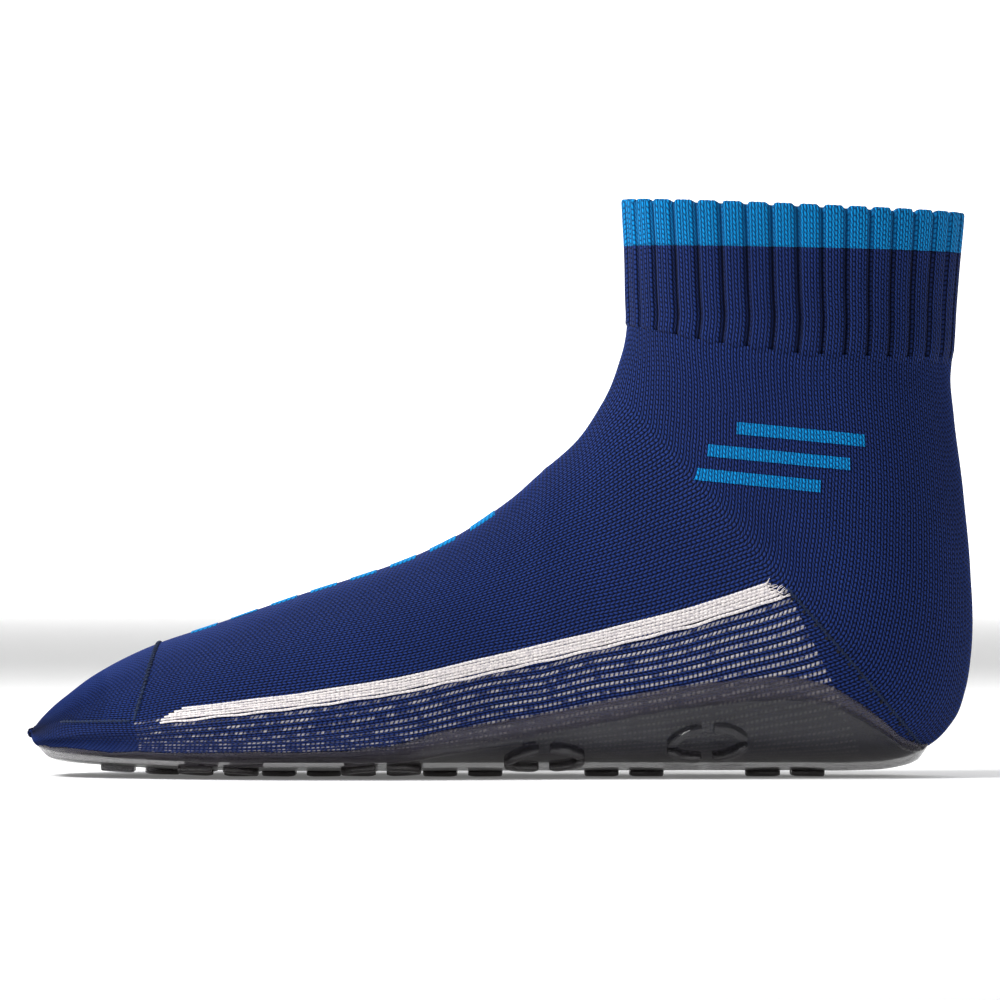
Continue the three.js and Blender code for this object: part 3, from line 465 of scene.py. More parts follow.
def tube(path, radius, sides=8, squash=1.0, normals=None):
    """Vertices and faces of a tube along path. radius may change along it."""
    path = np.asarray(path, float)
    n = len(path)
    radius = np.broadcast_to(np.asarray(radius, float), (n,))
    ahead = np.gradient(path, axis=0)
    ahead /= np.maximum(np.linalg.norm(ahead, axis=1, keepdims=True), 1e-9)
    out = outward(path) if normals is None else normals
    out = out - ahead * np.sum(out * ahead, axis=1, keepdims=True)
    out /= np.maximum(np.linalg.norm(out, axis=1, keepdims=True), 1e-9)
    across = np.cross(ahead, out)
    a = np.linspace(0, 2 * math.pi, sides, endpoint=False)
    ring = (out[:, None, :] * np.cos(a)[None, :, None] * squash
            + across[:, None, :] * np.sin(a)[None, :, None])
    vertices = (path[:, None, :] + ring * radius[:, None, None]).reshape(-1, 3)
    faces = grid_faces(n, sides, closed=True)
    faces.append(tuple(range(sides))[::-1])
    faces.append(tuple((n - 1) * sides + k for k in range(sides)))
    return vertices, faces


def gather(parts):
    """Joins (vertices, faces) pairs into one."""
    vertices, faces, start = [], [], 0
    for v, f in parts:
        vertices.append(v)
        faces += [tuple(i + start for i in face) for face in f]
        start += len(v)
    return np.concatenate(vertices), faces


# ---------------------------------------------------------------- materials

def grain(size_mm):
    """Scale of a pattern whose features are this many millimetres across."""
    return 1 / (size_mm * MM)


def add(tree, kind, *inputs, out=0, **settings_of_node):
    """Adds a node with its settings and links and gives back one of its outputs. The inputs are sockets or
    values in the node's own order, or one dict of them by name or number."""
    node = tree.nodes.new("ShaderNode" + kind)
    for key, value in settings_of_node.items():
        setattr(node, key, value)
    given = inputs[0] if inputs and isinstance(inputs[0], dict) else dict(enumerate(inputs))
    for key, value in given.items():
        if isinstance(value, bpy.types.NodeSocket):
            tree.links.new(value, node.inputs[key])
        else:
            node.inputs[key].default_value = value
    return node.outputs[out]


def new_material(name):
    material = bpy.data.materials.new(name)
    material.use_nodes = True
    tree = material.node_tree
    tree.nodes.clear()
    out = tree.nodes.new("ShaderNodeOutputMaterial")
    shader = tree.nodes.new("ShaderNodeBsdfPrincipled")
    tree.links.new(shader.outputs[0], out.inputs[0])
    return material, tree, shader


def finish_shader(tree, shader, inputs):
    """Sets the shader's own sockets, which take a value or a link."""
    for key, value in inputs.items():
        if isinstance(value, bpy.types.NodeSocket):
            tree.links.new(value, shader.inputs[key])
        else:
            shader.inputs[key].default_value = value


def blotched(tree, tone, where, size_mm, amount, dark, light, detail):
    """Makes a tone a little darker and lighter in soft patches, as dye and moulding do."""
    patch = add(tree, "TexNoise", {"Vector": where, "Scale": grain(size_mm), "Detail": detail})
    blotch = add(tree, "Mix", {0: patch, 6: (dark, dark, dark, 1), 7: (light, light, light, 1)},
                 out=2, data_type="RGBA")
    return add(tree, "Mix", {0: amount, 6: tone, 7: blotch}, out=2, data_type="RGBA", blend_type="MULTIPLY")


def fleck_mask(tree, where, u, v, fibre):
    """White plating yarn that shows as rows of short slanted dashes along the foot. The rows lie 1 1/3
    wales apart, drop out here and there, and grow denser towards the heel."""
    x = add(tree, "SeparateXYZ", where)
    missing = add(tree, "MapRange", {"Value": x, "From Min": -0.11, "From Max": 0.06,
                                     "To Min": 0.54, "To Max": 0.36})
    lines = add(tree, "Math", u, 0.75, operation="MULTIPLY")
    inside = add(tree, "Math", add(tree, "Math", lines, operation="FRACT"), 0.5, operation="SUBTRACT")
    off_line = add(tree, "Math", inside, operation="ABSOLUTE")
    in_line = add(tree, "MapRange", {"Value": off_line, "From Min": 0.23, "From Max": 0.1})
    dash = add(tree, "Math", inside, 1.4, v, operation="MULTIPLY_ADD")
    dash = add(tree, "Math", add(tree, "Math", dash, operation="FRACT"), math.pi, operation="MULTIPLY")
    dash = add(tree, "Math", dash, operation="SINE")
    on_dash = add(tree, "MapRange", {"Value": dash, "From Min": 0.3, "From Max": 0.9})
    row = add(tree, "Math", add(tree, "Math", lines, operation="FLOOR"), 7.3, operation="MULTIPLY")
    run = add(tree, "Math", v, 0.42, operation="MULTIPLY")
    chance = add(tree, "TexNoise", {"Vector": add(tree, "CombineXYZ", row, run), "Scale": 1.0, "Detail": 2.0})
    chance = add(tree, "Math", chance, missing, operation="SUBTRACT")
    chosen = add(tree, "MapRange", {"Value": chance, "From Min": -0.03, "From Max": 0.12, "To Min": 0.1})
    mask = add(tree, "Math", on_dash, in_line, operation="MULTIPLY")
    mask = add(tree, "Math", mask, chosen, operation="MULTIPLY")
    fuzz = add(tree, "Math", fibre, 0.9, 0.12, operation="MULTIPLY_ADD")
    return add(tree, "Math", mask, fuzz, operation="MULTIPLY", use_clamp=True)


def knit_material(name, base, deep, white=None, ribbed=False):
    """Textured nylon yarn knitted as plain jersey on a fine machine. Each stitch shows as a V of two rounded
    legs with painted shade in the gap round them, and the crimped yarn is matt with a faint sheen at grazing
    angles."""
    material, tree, shader = new_material(name)
    knit = add(tree, "UVMap", uv_map="Knit")
    u = add(tree, "SeparateXYZ", knit)
    v = add(tree, "SeparateXYZ", knit, out=1)
    where = add(tree, "TexCoord", out="Object")
    wobble = add(tree, "TexNoise", {"Vector": where, "Scale": grain(1.1111), "Detail": 1.0})
    wobble = add(tree, "Math", wobble, 0.5, operation="SUBTRACT")
    v = add(tree, "Math", wobble, 0.25, v, operation="MULTIPLY_ADD")
    across = add(tree, "Math", add(tree, "Math", u, operation="FRACT"), 0.5, operation="SUBTRACT")
    across = add(tree, "Math", across, operation="ABSOLUTE")
    along = add(tree, "Math", across, -1.3, v, operation="MULTIPLY_ADD")
    along = add(tree, "Math", along, operation="FRACT")
    leg = add(tree, "Math", u, 2.0, operation="MULTIPLY")
    leg = add(tree, "Math", leg, operation="FRACT")
    rounds = []
    for part, power in ((leg, 0.5), (along, 0.6)):
        turn = add(tree, "Math", part, math.pi, operation="MULTIPLY")
        turn = add(tree, "Math", turn, operation="SINE")
        rounds.append(add(tree, "Math", turn, power, operation="POWER"))
    height = add(tree, "Math", rounds[1], 0.62, 0.38, operation="MULTIPLY_ADD")
    height = add(tree, "Math", rounds[0], height, operation="MULTIPLY")
    fibre = add(tree, "TexNoise", {"Vector": where, "Scale": grain(0.38462), "Detail": 3.0})
    shade = add(tree, "MapRange", {"Value": height, "From Min": 0.48, "From Max": 0.97})
    if ribbed:
        # The fourth wale of each rib lies sunk, and painted shade makes it nearly dark.
        rib = add(tree, "Math", add(tree, "Math", u, 0.25, operation="MULTIPLY"), operation="FRACT")
        sunk = add(tree, "Math", add(tree, "Math", rib, 0.875, operation="SUBTRACT"), operation="ABSOLUTE")
        painted_groove_shade = add(tree, "MapRange", {"Value": sunk, "From Min": 0.03, "From Max": 0.14, "To Min": 0.12})
        shade = add(tree, "Math", shade, painted_groove_shade, operation="MULTIPLY")
    lit = add(tree, "Math", fibre, 1.3, 0.4, operation="MULTIPLY_ADD")
    shade = add(tree, "Math", shade, lit, operation="MULTIPLY", use_clamp=True)
    # Painted shade: the deep colour fills the gaps where the height of the stitch legs and rows is low.
    tone = add(tree, "Mix", {0: shade, 6: tuple(deep), 7: tuple(base)}, out=2, data_type="RGBA")
    tone = blotched(tree, tone, where, 26.316, 0.35, 0.6, 1.45, 3.0)
    if white is not None:
        fleck = fleck_mask(tree, where, u, v, fibre)
        tone = add(tree, "Mix", {0: fleck, 6: tone, 7: tuple(white)}, out=2, data_type="RGBA")
        height = add(tree, "Math", fleck, 0.5, height, operation="MULTIPLY_ADD")
    relief = add(tree, "Bump", {"Height": height, "Strength": 0.9, "Distance": 0.45 * MM})
    finish_shader(tree, shader, {
        "Base Color": tone, "Normal": relief, "Roughness": 0.7, "Specular IOR Level": 0.1,
        "Sheen Weight": 0.02, "Sheen Roughness": 0.4})
    return material


def yarn_material(name, base, deep):
    """Bulky nylon yarn laid in or sewn: fine crimped filaments that look matt and slightly fuzzy."""
    material, tree, shader = new_material(name)
    where = add(tree, "TexCoord", out="Object")
    fibre = add(tree, "TexNoise", {"Vector": where, "Scale": grain(0.55556), "Detail": 4.0})
    thread = add(tree, "MapRange", {"Value": fibre, "From Min": 0.3, "From Max": 0.62})
    tone = add(tree, "Mix", {0: thread, 6: tuple(deep), 7: tuple(base)}, out=2, data_type="RGBA")
    relief = add(tree, "Bump", {"Height": fibre, "Strength": 0.7, "Distance": 0.2 * MM})
    finish_shader(tree, shader, {
        "Base Color": tone, "Normal": relief, "Roughness": 0.75, "Specular IOR Level": 0.3,
        "Sheen Weight": 0.04, "Sheen Roughness": 0.5})
    return material


def rubber_material(name, base, thin, edge):
    """Clear smoky thermoplastic rubber moulded straight onto the knit. Its skin is glossy from the polished
    mould with a faint ripple, the cloth shows dimly through it, and its feathered margin is matt."""
    material, tree, shader = new_material(name)
    where = add(tree, "TexCoord", out="Object")
    ripple = add(tree, "TexNoise", {"Vector": where, "Scale": grain(2.381), "Detail": 2.0})
    height = add(tree, "SeparateXYZ", where, out=2)
    low = add(tree, "MapRange", {"Value": height, "From Min": 0.0, "From Max": 9 * MM,
                                 "To Min": 1.0, "To Max": 0.0})
    share = add(tree, "SeparateXYZ", add(tree, "UVMap", uv_map="Knit"))
    share = add(tree, "Math", share, operation="ABSOLUTE")
    margin = add(tree, "MapRange", {"Value": share, "From Min": 0.91, "From Max": 0.94})
    # The colour turns lighter towards the ground, mixing in the thin colour over the lowest 9 mm.
    toward_ground = add(tree, "Math", low, 0.6, operation="MULTIPLY")
    tone = add(tree, "Mix", {0: toward_ground, 6: tuple(base), 7: thin}, out=2, data_type="RGBA")
    feathered = add(tree, "Math", margin, 0.7, operation="MULTIPLY")
    tone = add(tree, "Mix", {0: feathered, 6: tone, 7: edge}, out=2, data_type="RGBA")
    tone = blotched(tree, tone, where, 16.667, 0.4, 0.7, 1.35, 4.0)
    relief = add(tree, "Bump", {"Height": ripple, "Strength": 0.25, "Distance": 0.12 * MM})
    rough = add(tree, "Math", margin, 0.4, 0.07, operation="MULTIPLY_ADD")
    rough = add(tree, "Math", low, 0.3, rough, operation="MULTIPLY_ADD")
    clear = add(tree, "Math", margin, -0.2, 0.56, operation="MULTIPLY_ADD")
    clear = add(tree, "Math", low, 0.3, clear, operation="MULTIPLY_ADD")
    finish_shader(tree, shader, {
        "Base Color": tone, "Normal": relief, "Roughness": rough, "Alpha": clear, "IOR": 1.52,
        "Coat Weight": 0.35, "Coat Roughness": 0.04})
    return material


MATERIALS = {}


def material(key):
    """The sock's materials, made once each."""
    if key not in MATERIALS:
        s = bpy.context.scene.water_sock
        make = {
            "navy": lambda: knit_material("Navy jersey", s.navy, s.navy_shade_and_fibre),
            "navy_rib": lambda: knit_material("Navy rib", s.navy, s.navy_shade_and_fibre, ribbed=True),
            "turquoise_rib": lambda: knit_material(
                "Turquoise rib", s.turquoise, s.turquoise_gap_shade, ribbed=True),
            "turquoise": lambda: knit_material("Turquoise jersey", s.turquoise, s.turquoise_gap_shade),
            "flecked": lambda: knit_material("Plated jersey", s.panel, s.navy_shade_and_fibre, s.white),
            "white": lambda: yarn_material("White yarn", s.white, linear("#b9b3b8")),
            "thread": lambda: yarn_material("Dark seam thread", linear("#12294f"), s.navy_shade_and_fibre),
            "elastic": lambda: yarn_material("Covered elastic", linear("#313a60"), linear("#10152c")),
            # Painted shade: a near-black yarn colour for the shade seen through open stitches.
            "hole": lambda: yarn_material("Painted shade of open stitch", linear("#04081c"), linear("#020410")),
            "rubber": lambda: rubber_material("Smoky rubber", s.smoke, linear("#4c4643"), linear("#4d4752")),
        }[key]
        MATERIALS[key] = make()
    return MATERIALS[key]


# ---------------------------------------------------------------- joints

def follow_toes(obj):
    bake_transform(obj)


def follow_leg(obj):
    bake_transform(obj)


def finish(obj, key, nodes, follow):
    """Material and slot, the CAD parts it replaces hidden, and either a body to hang on or its place baked
    in.
    """
    obj.data.materials.append(material(key))
    if nodes:
        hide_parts(*nodes)
    if callable(follow):
        follow(obj)
    else:
        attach(obj, follow)


def finish_cloth(obj, key, nodes, depth, follow):
    """The same for a piece of cloth, which gets its thickness first."""
    m = obj.modifiers.new("Cloth thickness", "SOLIDIFY")
    m.thickness = depth
    m.offset = -1
    m.use_even_offset = False
    m.use_quality_normals = True
    depsgraph = bpy.context.evaluated_depsgraph_get()
    mesh = bpy.data.meshes.new_from_object(obj.evaluated_get(depsgraph))
    mesh.name = obj.name
    mesh.set_sharp_from_angle(angle=math.radians(62))
    obj.modifiers.clear()
    obj.data = mesh
    finish(obj, key, nodes, follow)


# ---------------------------------------------------------------- operators

class SOCK_OT_toe_pocket(bpy.types.Operator):
    """Knits the upper and lower halves of the toe pocket"""
    bl_idname = "sock.toe_pocket"
    bl_label = "Toe pocket"
    bl_options = {"REGISTER", "UNDO"}

    def execute(self, context):
        s = context.scene.water_sock
        seam = crossing(UPPER, lambda x, z: x - TOE_SEAM(z))
        base = crossing(LOWER, lambda x, z: x - TOE_BASE(z))
        top = cloth("toe_pocket_top", [(UPPER, Q_TOE, seam, ROWS["toe"])], s)
        finish_cloth(top, "navy", ["toe_pocket_upper"], s.wall, "toes")
        under = cloth("toe_pocket_under", [(LOWER, Q_TOE, base, ROWS["toe"])], s)
        finish_cloth(under, "navy", ["toe_pocket_lower"], s.wall, "toes")
        return {"FINISHED"}


class SOCK_OT_instep(bpy.types.Operator):
    """Knits the jersey over the forefoot and the ball of the foot"""
    bl_idname = "sock.instep"
    bl_label = "Forefoot and instep"
    bl_options = {"REGISTER", "UNDO"}

    def execute(self, context):
        s = context.scene.water_sock
        seam = crossing(UPPER, lambda x, z: x - TOE_SEAM(z))
        front = cloth("forefoot_jersey", [(UPPER, seam, Q_SPLIT, ROWS["front"])], s)
        finish_cloth(front, "navy",
                     ["forefoot_top_knit", "ball_flex_top_knit"], s.wall, follow_toes)
        return {"FINISHED"}


class SOCK_OT_leg(bpy.types.Operator):
    """Knits the jersey from the instep round the ankle up to the cuff"""
    bl_idname = "sock.leg"
    bl_label = "Instep and ankle"
    bl_options = {"REGISTER", "UNDO"}

    def execute(self, context):
        s = context.scene.water_sock
        rib = crossing(ALL, lambda x, z: z - RIB_LINE(x), after=Q_LEG)
        top = crossing(ALL, lambda x, z: z - HEEL_TOP, after=Q_APEX)
        lower = (ALL >= -SIDE) & (ALL <= SIDE)
        begin = np.where(lower, np.maximum(top, Q_APEX), Q_APEX)
        bands = [(UPPER, Q_SPLIT, Q_APEX, ROWS["ankle"]), (ALL, begin, rib, ROWS["leg"])]
        leg = cloth("leg_jersey", bands, s)
        weld(leg)
        finish_cloth(leg, "navy",
                     ["instep_knit", "ankle_flex_knit", "leg_knit"], s.wall, follow_leg)
        return {"FINISHED"}


class SOCK_OT_panel(bpy.types.Operator):
    """Knits the plated panel along both sides and under the foot"""
    bl_idname = "sock.panel"
    bl_label = "Side and sole panel"
    bl_options = {"REGISTER", "UNDO"}

    def execute(self, context):
        s = context.scene.water_sock
        begin = crossing(LOWER, lambda x, z: x - TOE_BASE(z))
        end = np.minimum(crossing(LOWER, lambda x, z: x - HEEL_BASE(z)), Q_APEX + 2)
        end[0], end[-1] = Q_APEX, Q_APEX
        panel = cloth("plated_panel", [(LOWER, begin, end, ROWS["panel"])], s)
        finish_cloth(panel, "flecked",
                     ["forefoot_sole_knit", "ball_flex_sole_knit", "arch_sole_knit"], s.wall, follow_toes)
        return {"FINISHED"}


class SOCK_OT_heel(bpy.types.Operator):
    """Knits the two halves of the heel pocket"""
    bl_idname = "sock.heel"
    bl_label = "Heel pocket"
    bl_options = {"REGISTER", "UNDO"}

    def execute(self, context):
        s = context.scene.water_sock
        base = crossing(LOWER, lambda x, z: x - HEEL_BASE(z))
        gore = crossing(LOWER, lambda x, z: x - HEEL_GORE(z))
        top = np.maximum(crossing(LOWER, lambda x, z: z - HEEL_TOP, after=Q_APEX), Q_APEX)
        base[0] = base[-1] = gore[0] = gore[-1] = top[0] = top[-1] = Q_APEX
        gore = np.maximum(gore, base)
        top = np.maximum(top, gore)
        under = cloth("heel_pocket_under", [(LOWER, base, gore, ROWS["heel_under"])], s)
        finish_cloth(under, "navy", ["heel_pocket_lower"], s.wall, "foot")
        back = cloth("heel_pocket_back", [(LOWER, gore, top, ROWS["heel_back"])], s)
        finish_cloth(back, "navy", ["heel_pocket_upper"], s.wall, follow_leg)
        return {"FINISHED"}


def rib_lift(wale, s):
    """Profile of a three-and-one rib: three raised wales, then a sunk one."""
    depth = s.rib_depth / MM
    groove = np.exp(-(((wale % 4) - 3.5) / 0.5) ** 2)
    dome = np.sin(np.clip(((wale + 0.5) % 4) / 4, 0, 1) * math.pi)
    f = wale % 1.0
    ridge = 0.16 * np.abs(np.sin(math.pi * f)) ** 0.8
    return depth * (0.28 + 0.22 * dome - groove) + ridge - 0.1


class SOCK_OT_cuff(bpy.types.Operator):
    """Knits the ribbed cuff and the folded band along its top edge"""
    bl_idname = "sock.cuff"
    bl_label = "Cuff and top band"
    bl_options = {"REGISTER", "UNDO"}

    def execute(self, context):
        s = context.scene.water_sock
        ring = ALL[:-1]
        rib = crossing(ring, lambda x, z: z - RIB_LINE(x), after=Q_LEG)
        welt = crossing(ring, lambda x, z: z - WELT_LINE(x), after=Q_LEG)
        tuck = 0.012            # stations by which the ribs reach down under the jersey's edge
        fold = 1.6              # millimetres kept free over the last row for the fold
        self.band("cuff_ribs", ring, rib - tuck, welt, ROWS["ribs"], s, s.rib_wall,
                  "navy_rib", "navy_knit", ["cuff_rib"], False)
        edge = np.full(len(ring), 3 - fold / LEG_RISE)
        self.band("top_band", ring, welt, edge, ROWS["top_band"], s, s.welt_wall,
                  "turquoise_rib", "turquoise_knit", ["welt_band"], True)
        return {"FINISHED"}

    def band(self, name, ring, begin, end, rows, s, wall, key, slot, nodes, folded):
        share = np.linspace(0, 1, rows)[:, None]
        q = begin[None, :] * (1 - share) + end[None, :] * share
        points, normals, length = sample(ring, q)
        wale = ring / PER_WALE
        lift = np.broadcast_to(rib_lift(wale, s)[None, :, None], q.shape + (1,)).copy()
        if not folded:
            lift[0] -= 0.5
        outer = points + normals * lift
        crest = np.clip(rib_lift(wale, s) / (s.rib_depth / MM) + 0.5, 0, 1)
        inner = points - normals * wall / MM
        uv_rows = [np.stack([np.broadcast_to(wale, (len(ring),)), length[i] / (s.course / MM)], axis=1)
                   for i in range(rows)]
        rows_out = list(outer)
        uvs = list(uv_rows)
        if folded:
            top_out, top_in = outer[-1], inner[-1]
            rise = (s.scallop / MM) * crest
            for i in range(1, rows):
                near_top = max(0.0, (i - rows * 0.5) / (rows * 0.5))
                rows_out[i] = rows_out[i] + np.stack([0 * rise, 0 * rise, rise * near_top ** 2], axis=1)
            steps = 7
            for k in range(1, steps + 1):
                a = math.pi * k / (steps + 1)
                blend = (1 - math.cos(a)) / 2
                ring_row = top_out * (1 - blend) + top_in * blend
                up = (wall / MM) * 0.42 * math.sin(a) + rise * (1 - blend)
                rows_out.append(ring_row + np.stack([0 * rise, 0 * rise, up], axis=1))
                uvs.append(uv_rows[-1] + np.array([0, 0.3 * k]))
        base_uv = uvs[-1]
        for i in range(rows - 1, -1, -1):
            rows_out.append(inner[i])
            uvs.append(base_uv + np.array([0, (rows - i) * 0.8]))
        vertices = np.concatenate(rows_out)
        count = len(rows_out)
        faces = grid_faces(count, len(ring), closed=True)
        last = (count - 1) * len(ring)
        n = len(ring)
        for j in range(n):
            k = (j + 1) % n
            faces.append((last + j, last + k, k, j))
        obj = new_object(name, vertices, faces, np.concatenate(uvs))
        finish(obj, key, nodes, follow_leg)


class SOCK_OT_bars(bpy.types.Operator):
    """Knits the plain turquoise bars on the ankle and down the instep"""
    bl_idname = "sock.bars"
    bl_label = "Knitted-in bars"
    bl_options = {"REGISTER", "UNDO"}

    depth = 0.35 * MM       # thickness of a bar's yarn
    reach = 60              # mesh columns to each side of the centre in which the instep bars lie

    def execute(self, context):
        s = context.scene.water_sock
        lift = s.bar_lift / MM
        self.instep(s, lift)
        self.ankle(s, lift)
        return {"FINISHED"}

    def instep(self, s, lift):
        for i in range(8):
            lo, hi = node_box("instep_bar_%d" % (i + 1))
            q0 = float(station_of(lo[0], FOOTBED)[0])
            q1 = float(station_of(hi[0], FOOTBED)[0])
            across = GRID[np.argmin(np.abs(STATIONS - (q0 + q1) / 2)), :, 1]
            columns = np.array([c for c in UPPER if lo[1] <= across[c] <= hi[1]
                                and abs(c - COLUMNS // 2) < self.reach])
            bar = cloth("instep_bar_yarn_%d" % (i + 1), [(columns, q0, q1, ROWS["instep_bar"])], s, lift)
            finish_cloth(bar, "turquoise",
                         ["instep_bar_%d" % (i + 1)], self.depth, follow_toes)

    def ankle(self, s, lift):
        tilt = 0.1              # fall per millimetre along the foot
        width = 3.2             # millimetres
        for name, sign in (("outer", -1), ("inner", 1)):
            for i in range(3):
                node = "ankle_bar_%s_%d" % (name, i + 1)
                lo, hi = node_box(node)
                cx, cz = (lo[0] + hi[0]) / 2, (lo[2] + hi[2]) / 2
                middle = SIDE if sign > 0 else COLUMNS - SIDE
                span = np.arange(middle - 100, middle + 101)
                below, above = (
                    crossing(span, lambda x, z: z - (cz + rise - tilt * (x - cx)), after=Q_APEX - 0.3)
                    for rise in (-width / 2, width / 2))
                x = np.array([np.interp(b, STATIONS, GRID[:, c % COLUMNS, 0]) for b, c in zip(below, span)])
                keep = (x > lo[0]) & (x < hi[0])
                if keep.sum() < 8:
                    raise RuntimeError(node + " has too few columns")
                rows = ROWS["ankle_bar"]
                bar = cloth(node + "_yarn", [(span[keep], below[keep], above[keep], rows)], s, lift)
                finish_cloth(bar, "turquoise", [node], self.depth, follow_leg)


STRIPE_X = (place([[-88, 0]])[0][0], place([[72, 0]])[0][0])


class SOCK_OT_stripes(bpy.types.Operator):
    """Lays the white yarns of the stripe along each side, with a cut end at the heel"""
    bl_idname = "sock.stripes"
    bl_label = "Side stripes"
    bl_options = {"REGISTER", "UNDO"}

    strands = 6

    def execute(self, context):
        s = context.scene.water_sock
        rng = np.random.default_rng(7)
        waist = lambda x: np.interp(x, WAIST[:, 0], WAIST[:, 1])
        for name, side in (("outer", -1), ("inner", 1)):
            parts = []
            for k in range(self.strands):
                offset = (k + 0.5) / self.strands - 0.5
                start = STRIPE_X[0] - 2 + 7 * (offset + 0.5) ** 2
                stop = min(STRIPE_X[1] + 0.5 - 5.5 * offset + rng.uniform(-0.9, 0.6), STRIPE_X[1] + 2.4)
                x = np.arange(start, stop, 0.17)
                width = np.interp(x, STRIPE_X, (s.stripe_toe / MM, s.stripe_heel / MM))
                drift = 0.05 * np.sin(x / 3.1 + k * 2.0)
                if k == 0:
                    drift -= 0.25 + 0.12 * np.sin(x / 1.9)
                z = waist(x) + offset * width + drift
                points = on_side(x, z, side)
                normals = outward(points)
                tuck = (0.5 + 0.5 * np.sin(2 * math.pi * x / 1.15)) ** 6
                rough = 1 + 0.05 * rng.standard_normal(len(x))
                radius = width / self.strands * 0.5 * (1 - 0.2 * tuck) * rough
                lift = 0.2 - 0.12 * tuck
                parts.append(tube(points + normals * lift[:, None], radius, 8, squash=0.8, normals=normals))
                for _ in range(3):
                    end = points[-1] + normals[-1] * 0.1
                    parts.append(self.frayed(end, normals[-1], side, rng))
            vertices, faces = gather(parts)
            obj = new_object("side_stripe_yarns_" + name, vertices, faces)
            nodes = ["side_stripe_%s%s" % (name, part) for part in ("", "_ball", "_toe")]
            finish(obj, "white", nodes, follow_toes)
        return {"FINISHED"}

    def frayed(self, start, normal, side, rng):
        """One loose fibre at the cut end of a yarn."""
        steps = 7
        heading = np.array([0.8, 0, 0.35]) + rng.normal(0, 0.35, 3)
        path = [start - heading * 0.2]
        for _ in range(steps):
            heading = heading + rng.normal(0, 0.22, 3)
            heading[1] = 0.25 * side * rng.uniform(0, 1)
            path.append(path[-1] + heading / np.linalg.norm(heading) * rng.uniform(0.25, 0.45))
        path = np.array(path)
        normals = np.broadcast_to(normal, path.shape).copy()
        return tube(path + normal * 0.15, np.linspace(0.16, 0.06, len(path)), 5, normals=normals)


def stitched(path, normals, radius, pitch, rng):
    """A linked seam: a bead of yarn with a loop over it at every stitch."""
    run = np.concatenate([[0], np.cumsum(np.linalg.norm(np.diff(path, axis=0), axis=1))])
    bead = radius * (0.8 + 0.2 * np.abs(np.sin(math.pi * run / pitch)))
    parts = [tube(path, bead, 8, squash=0.85, normals=normals)]
    ahead = np.gradient(path, axis=0)
    ahead /= np.linalg.norm(ahead, axis=1, keepdims=True)
    across = np.cross(ahead, normals)
    for at in np.arange(pitch, run[-1] - pitch, pitch):
        centre = np.array([np.interp(at, run, path[:, k]) for k in range(3)])
        n, a, c = (np.array([np.interp(at, run, v[:, k]) for k in range(3)])
                   for v in (normals, ahead, across))
        t = np.linspace(-1.25, 1.25, 9)
        loop = (centre + np.outer(np.sin(t) * radius * 1.35, c) + np.outer(np.cos(t) * radius * 0.95, n)
                + np.outer(t * pitch * 0.28, a))
        normal = np.broadcast_to(n, loop.shape)
        parts.append(tube(loop, 0.2 * (1 + 0.1 * rng.standard_normal()), 6, normals=normal))
    return parts


class SOCK_OT_seams(bpy.types.Operator):
    """Sews the toe seam and the ridges where the heel and toe pockets close"""
    bl_idname = "sock.seams"
    bl_label = "Seams"
    bl_options = {"REGISTER", "UNDO"}

    def execute(self, context):
        s = context.scene.water_sock
        rng = np.random.default_rng(11)
        seam = crossing(UPPER, lambda x, z: x - TOE_SEAM(z))
        points, normals, _ = sample(UPPER, seam[None, :])
        self.bead("toe_seam_thread", points[0][::2], normals[0][::2], s.seam / MM, 1.5, rng,
                  ["toe_seam"], "toes")
        for name, side in (("outer", -1), ("inner", 1)):
            z = np.linspace(place([[0, 46.5]])[0][1], place([[0, 3.4]])[0][1], 60)
            path = on_side(HEEL_GORE(z), z, side)
            self.bead("heel_suture_" + name, path, outward(path), s.suture / MM, 1.7, rng,
                      ["heel_gore_" + name], "foot")
            self.holes("heel_suture_holes_" + name, path, outward(path))
            x = np.linspace(place([[-98, 0]])[0][0], place([[-117, 0]])[0][0], 40)
            path = on_side(x, np.interp(x, WAIST[:, 0], WAIST[:, 1]), side)
            self.bead("toe_suture_" + name, path, outward(path), s.suture / MM * 0.8, 1.5, rng,
                      ["toe_gore_" + name], "toes")
        return {"FINISHED"}

    def bead(self, name, path, normals, radius, pitch, rng, nodes, body):
        vertices, faces = gather(stitched(path + normals * 0.05, normals, radius, pitch, rng))
        obj = new_object(name, vertices, faces)
        finish(obj, "thread", nodes, body)

    def holes(self, name, path, normals):
        """Small dark patches painted as the shade seen through open gaps beside the heel suture, one every
        few stitches.
        """
        parts = []
        run = np.concatenate([[0], np.cumsum(np.linalg.norm(np.diff(path, axis=0), axis=1))])
        ahead = np.gradient(path, axis=0)
        ahead /= np.linalg.norm(ahead, axis=1, keepdims=True)
        for at in np.arange(3.0, run[-1] - 3, 4.6):
            centre, n, a = (np.array([np.interp(at, run, v[:, k]) for k in range(3)])
                            for v in (path, normals, ahead))
            c = np.cross(a, n)
            centre = centre + c * 0.9
            spot = np.array([centre - a * 0.45, centre, centre + a * 0.45])
            parts.append(tube(spot + n * 0.12, np.array([0.25, 0.42, 0.25]), 8, squash=0.35,
                              normals=np.array([n, n, n])))
        vertices, faces = gather(parts)
        obj = new_object(name, vertices, faces)
        finish(obj, "hole", [], "foot")


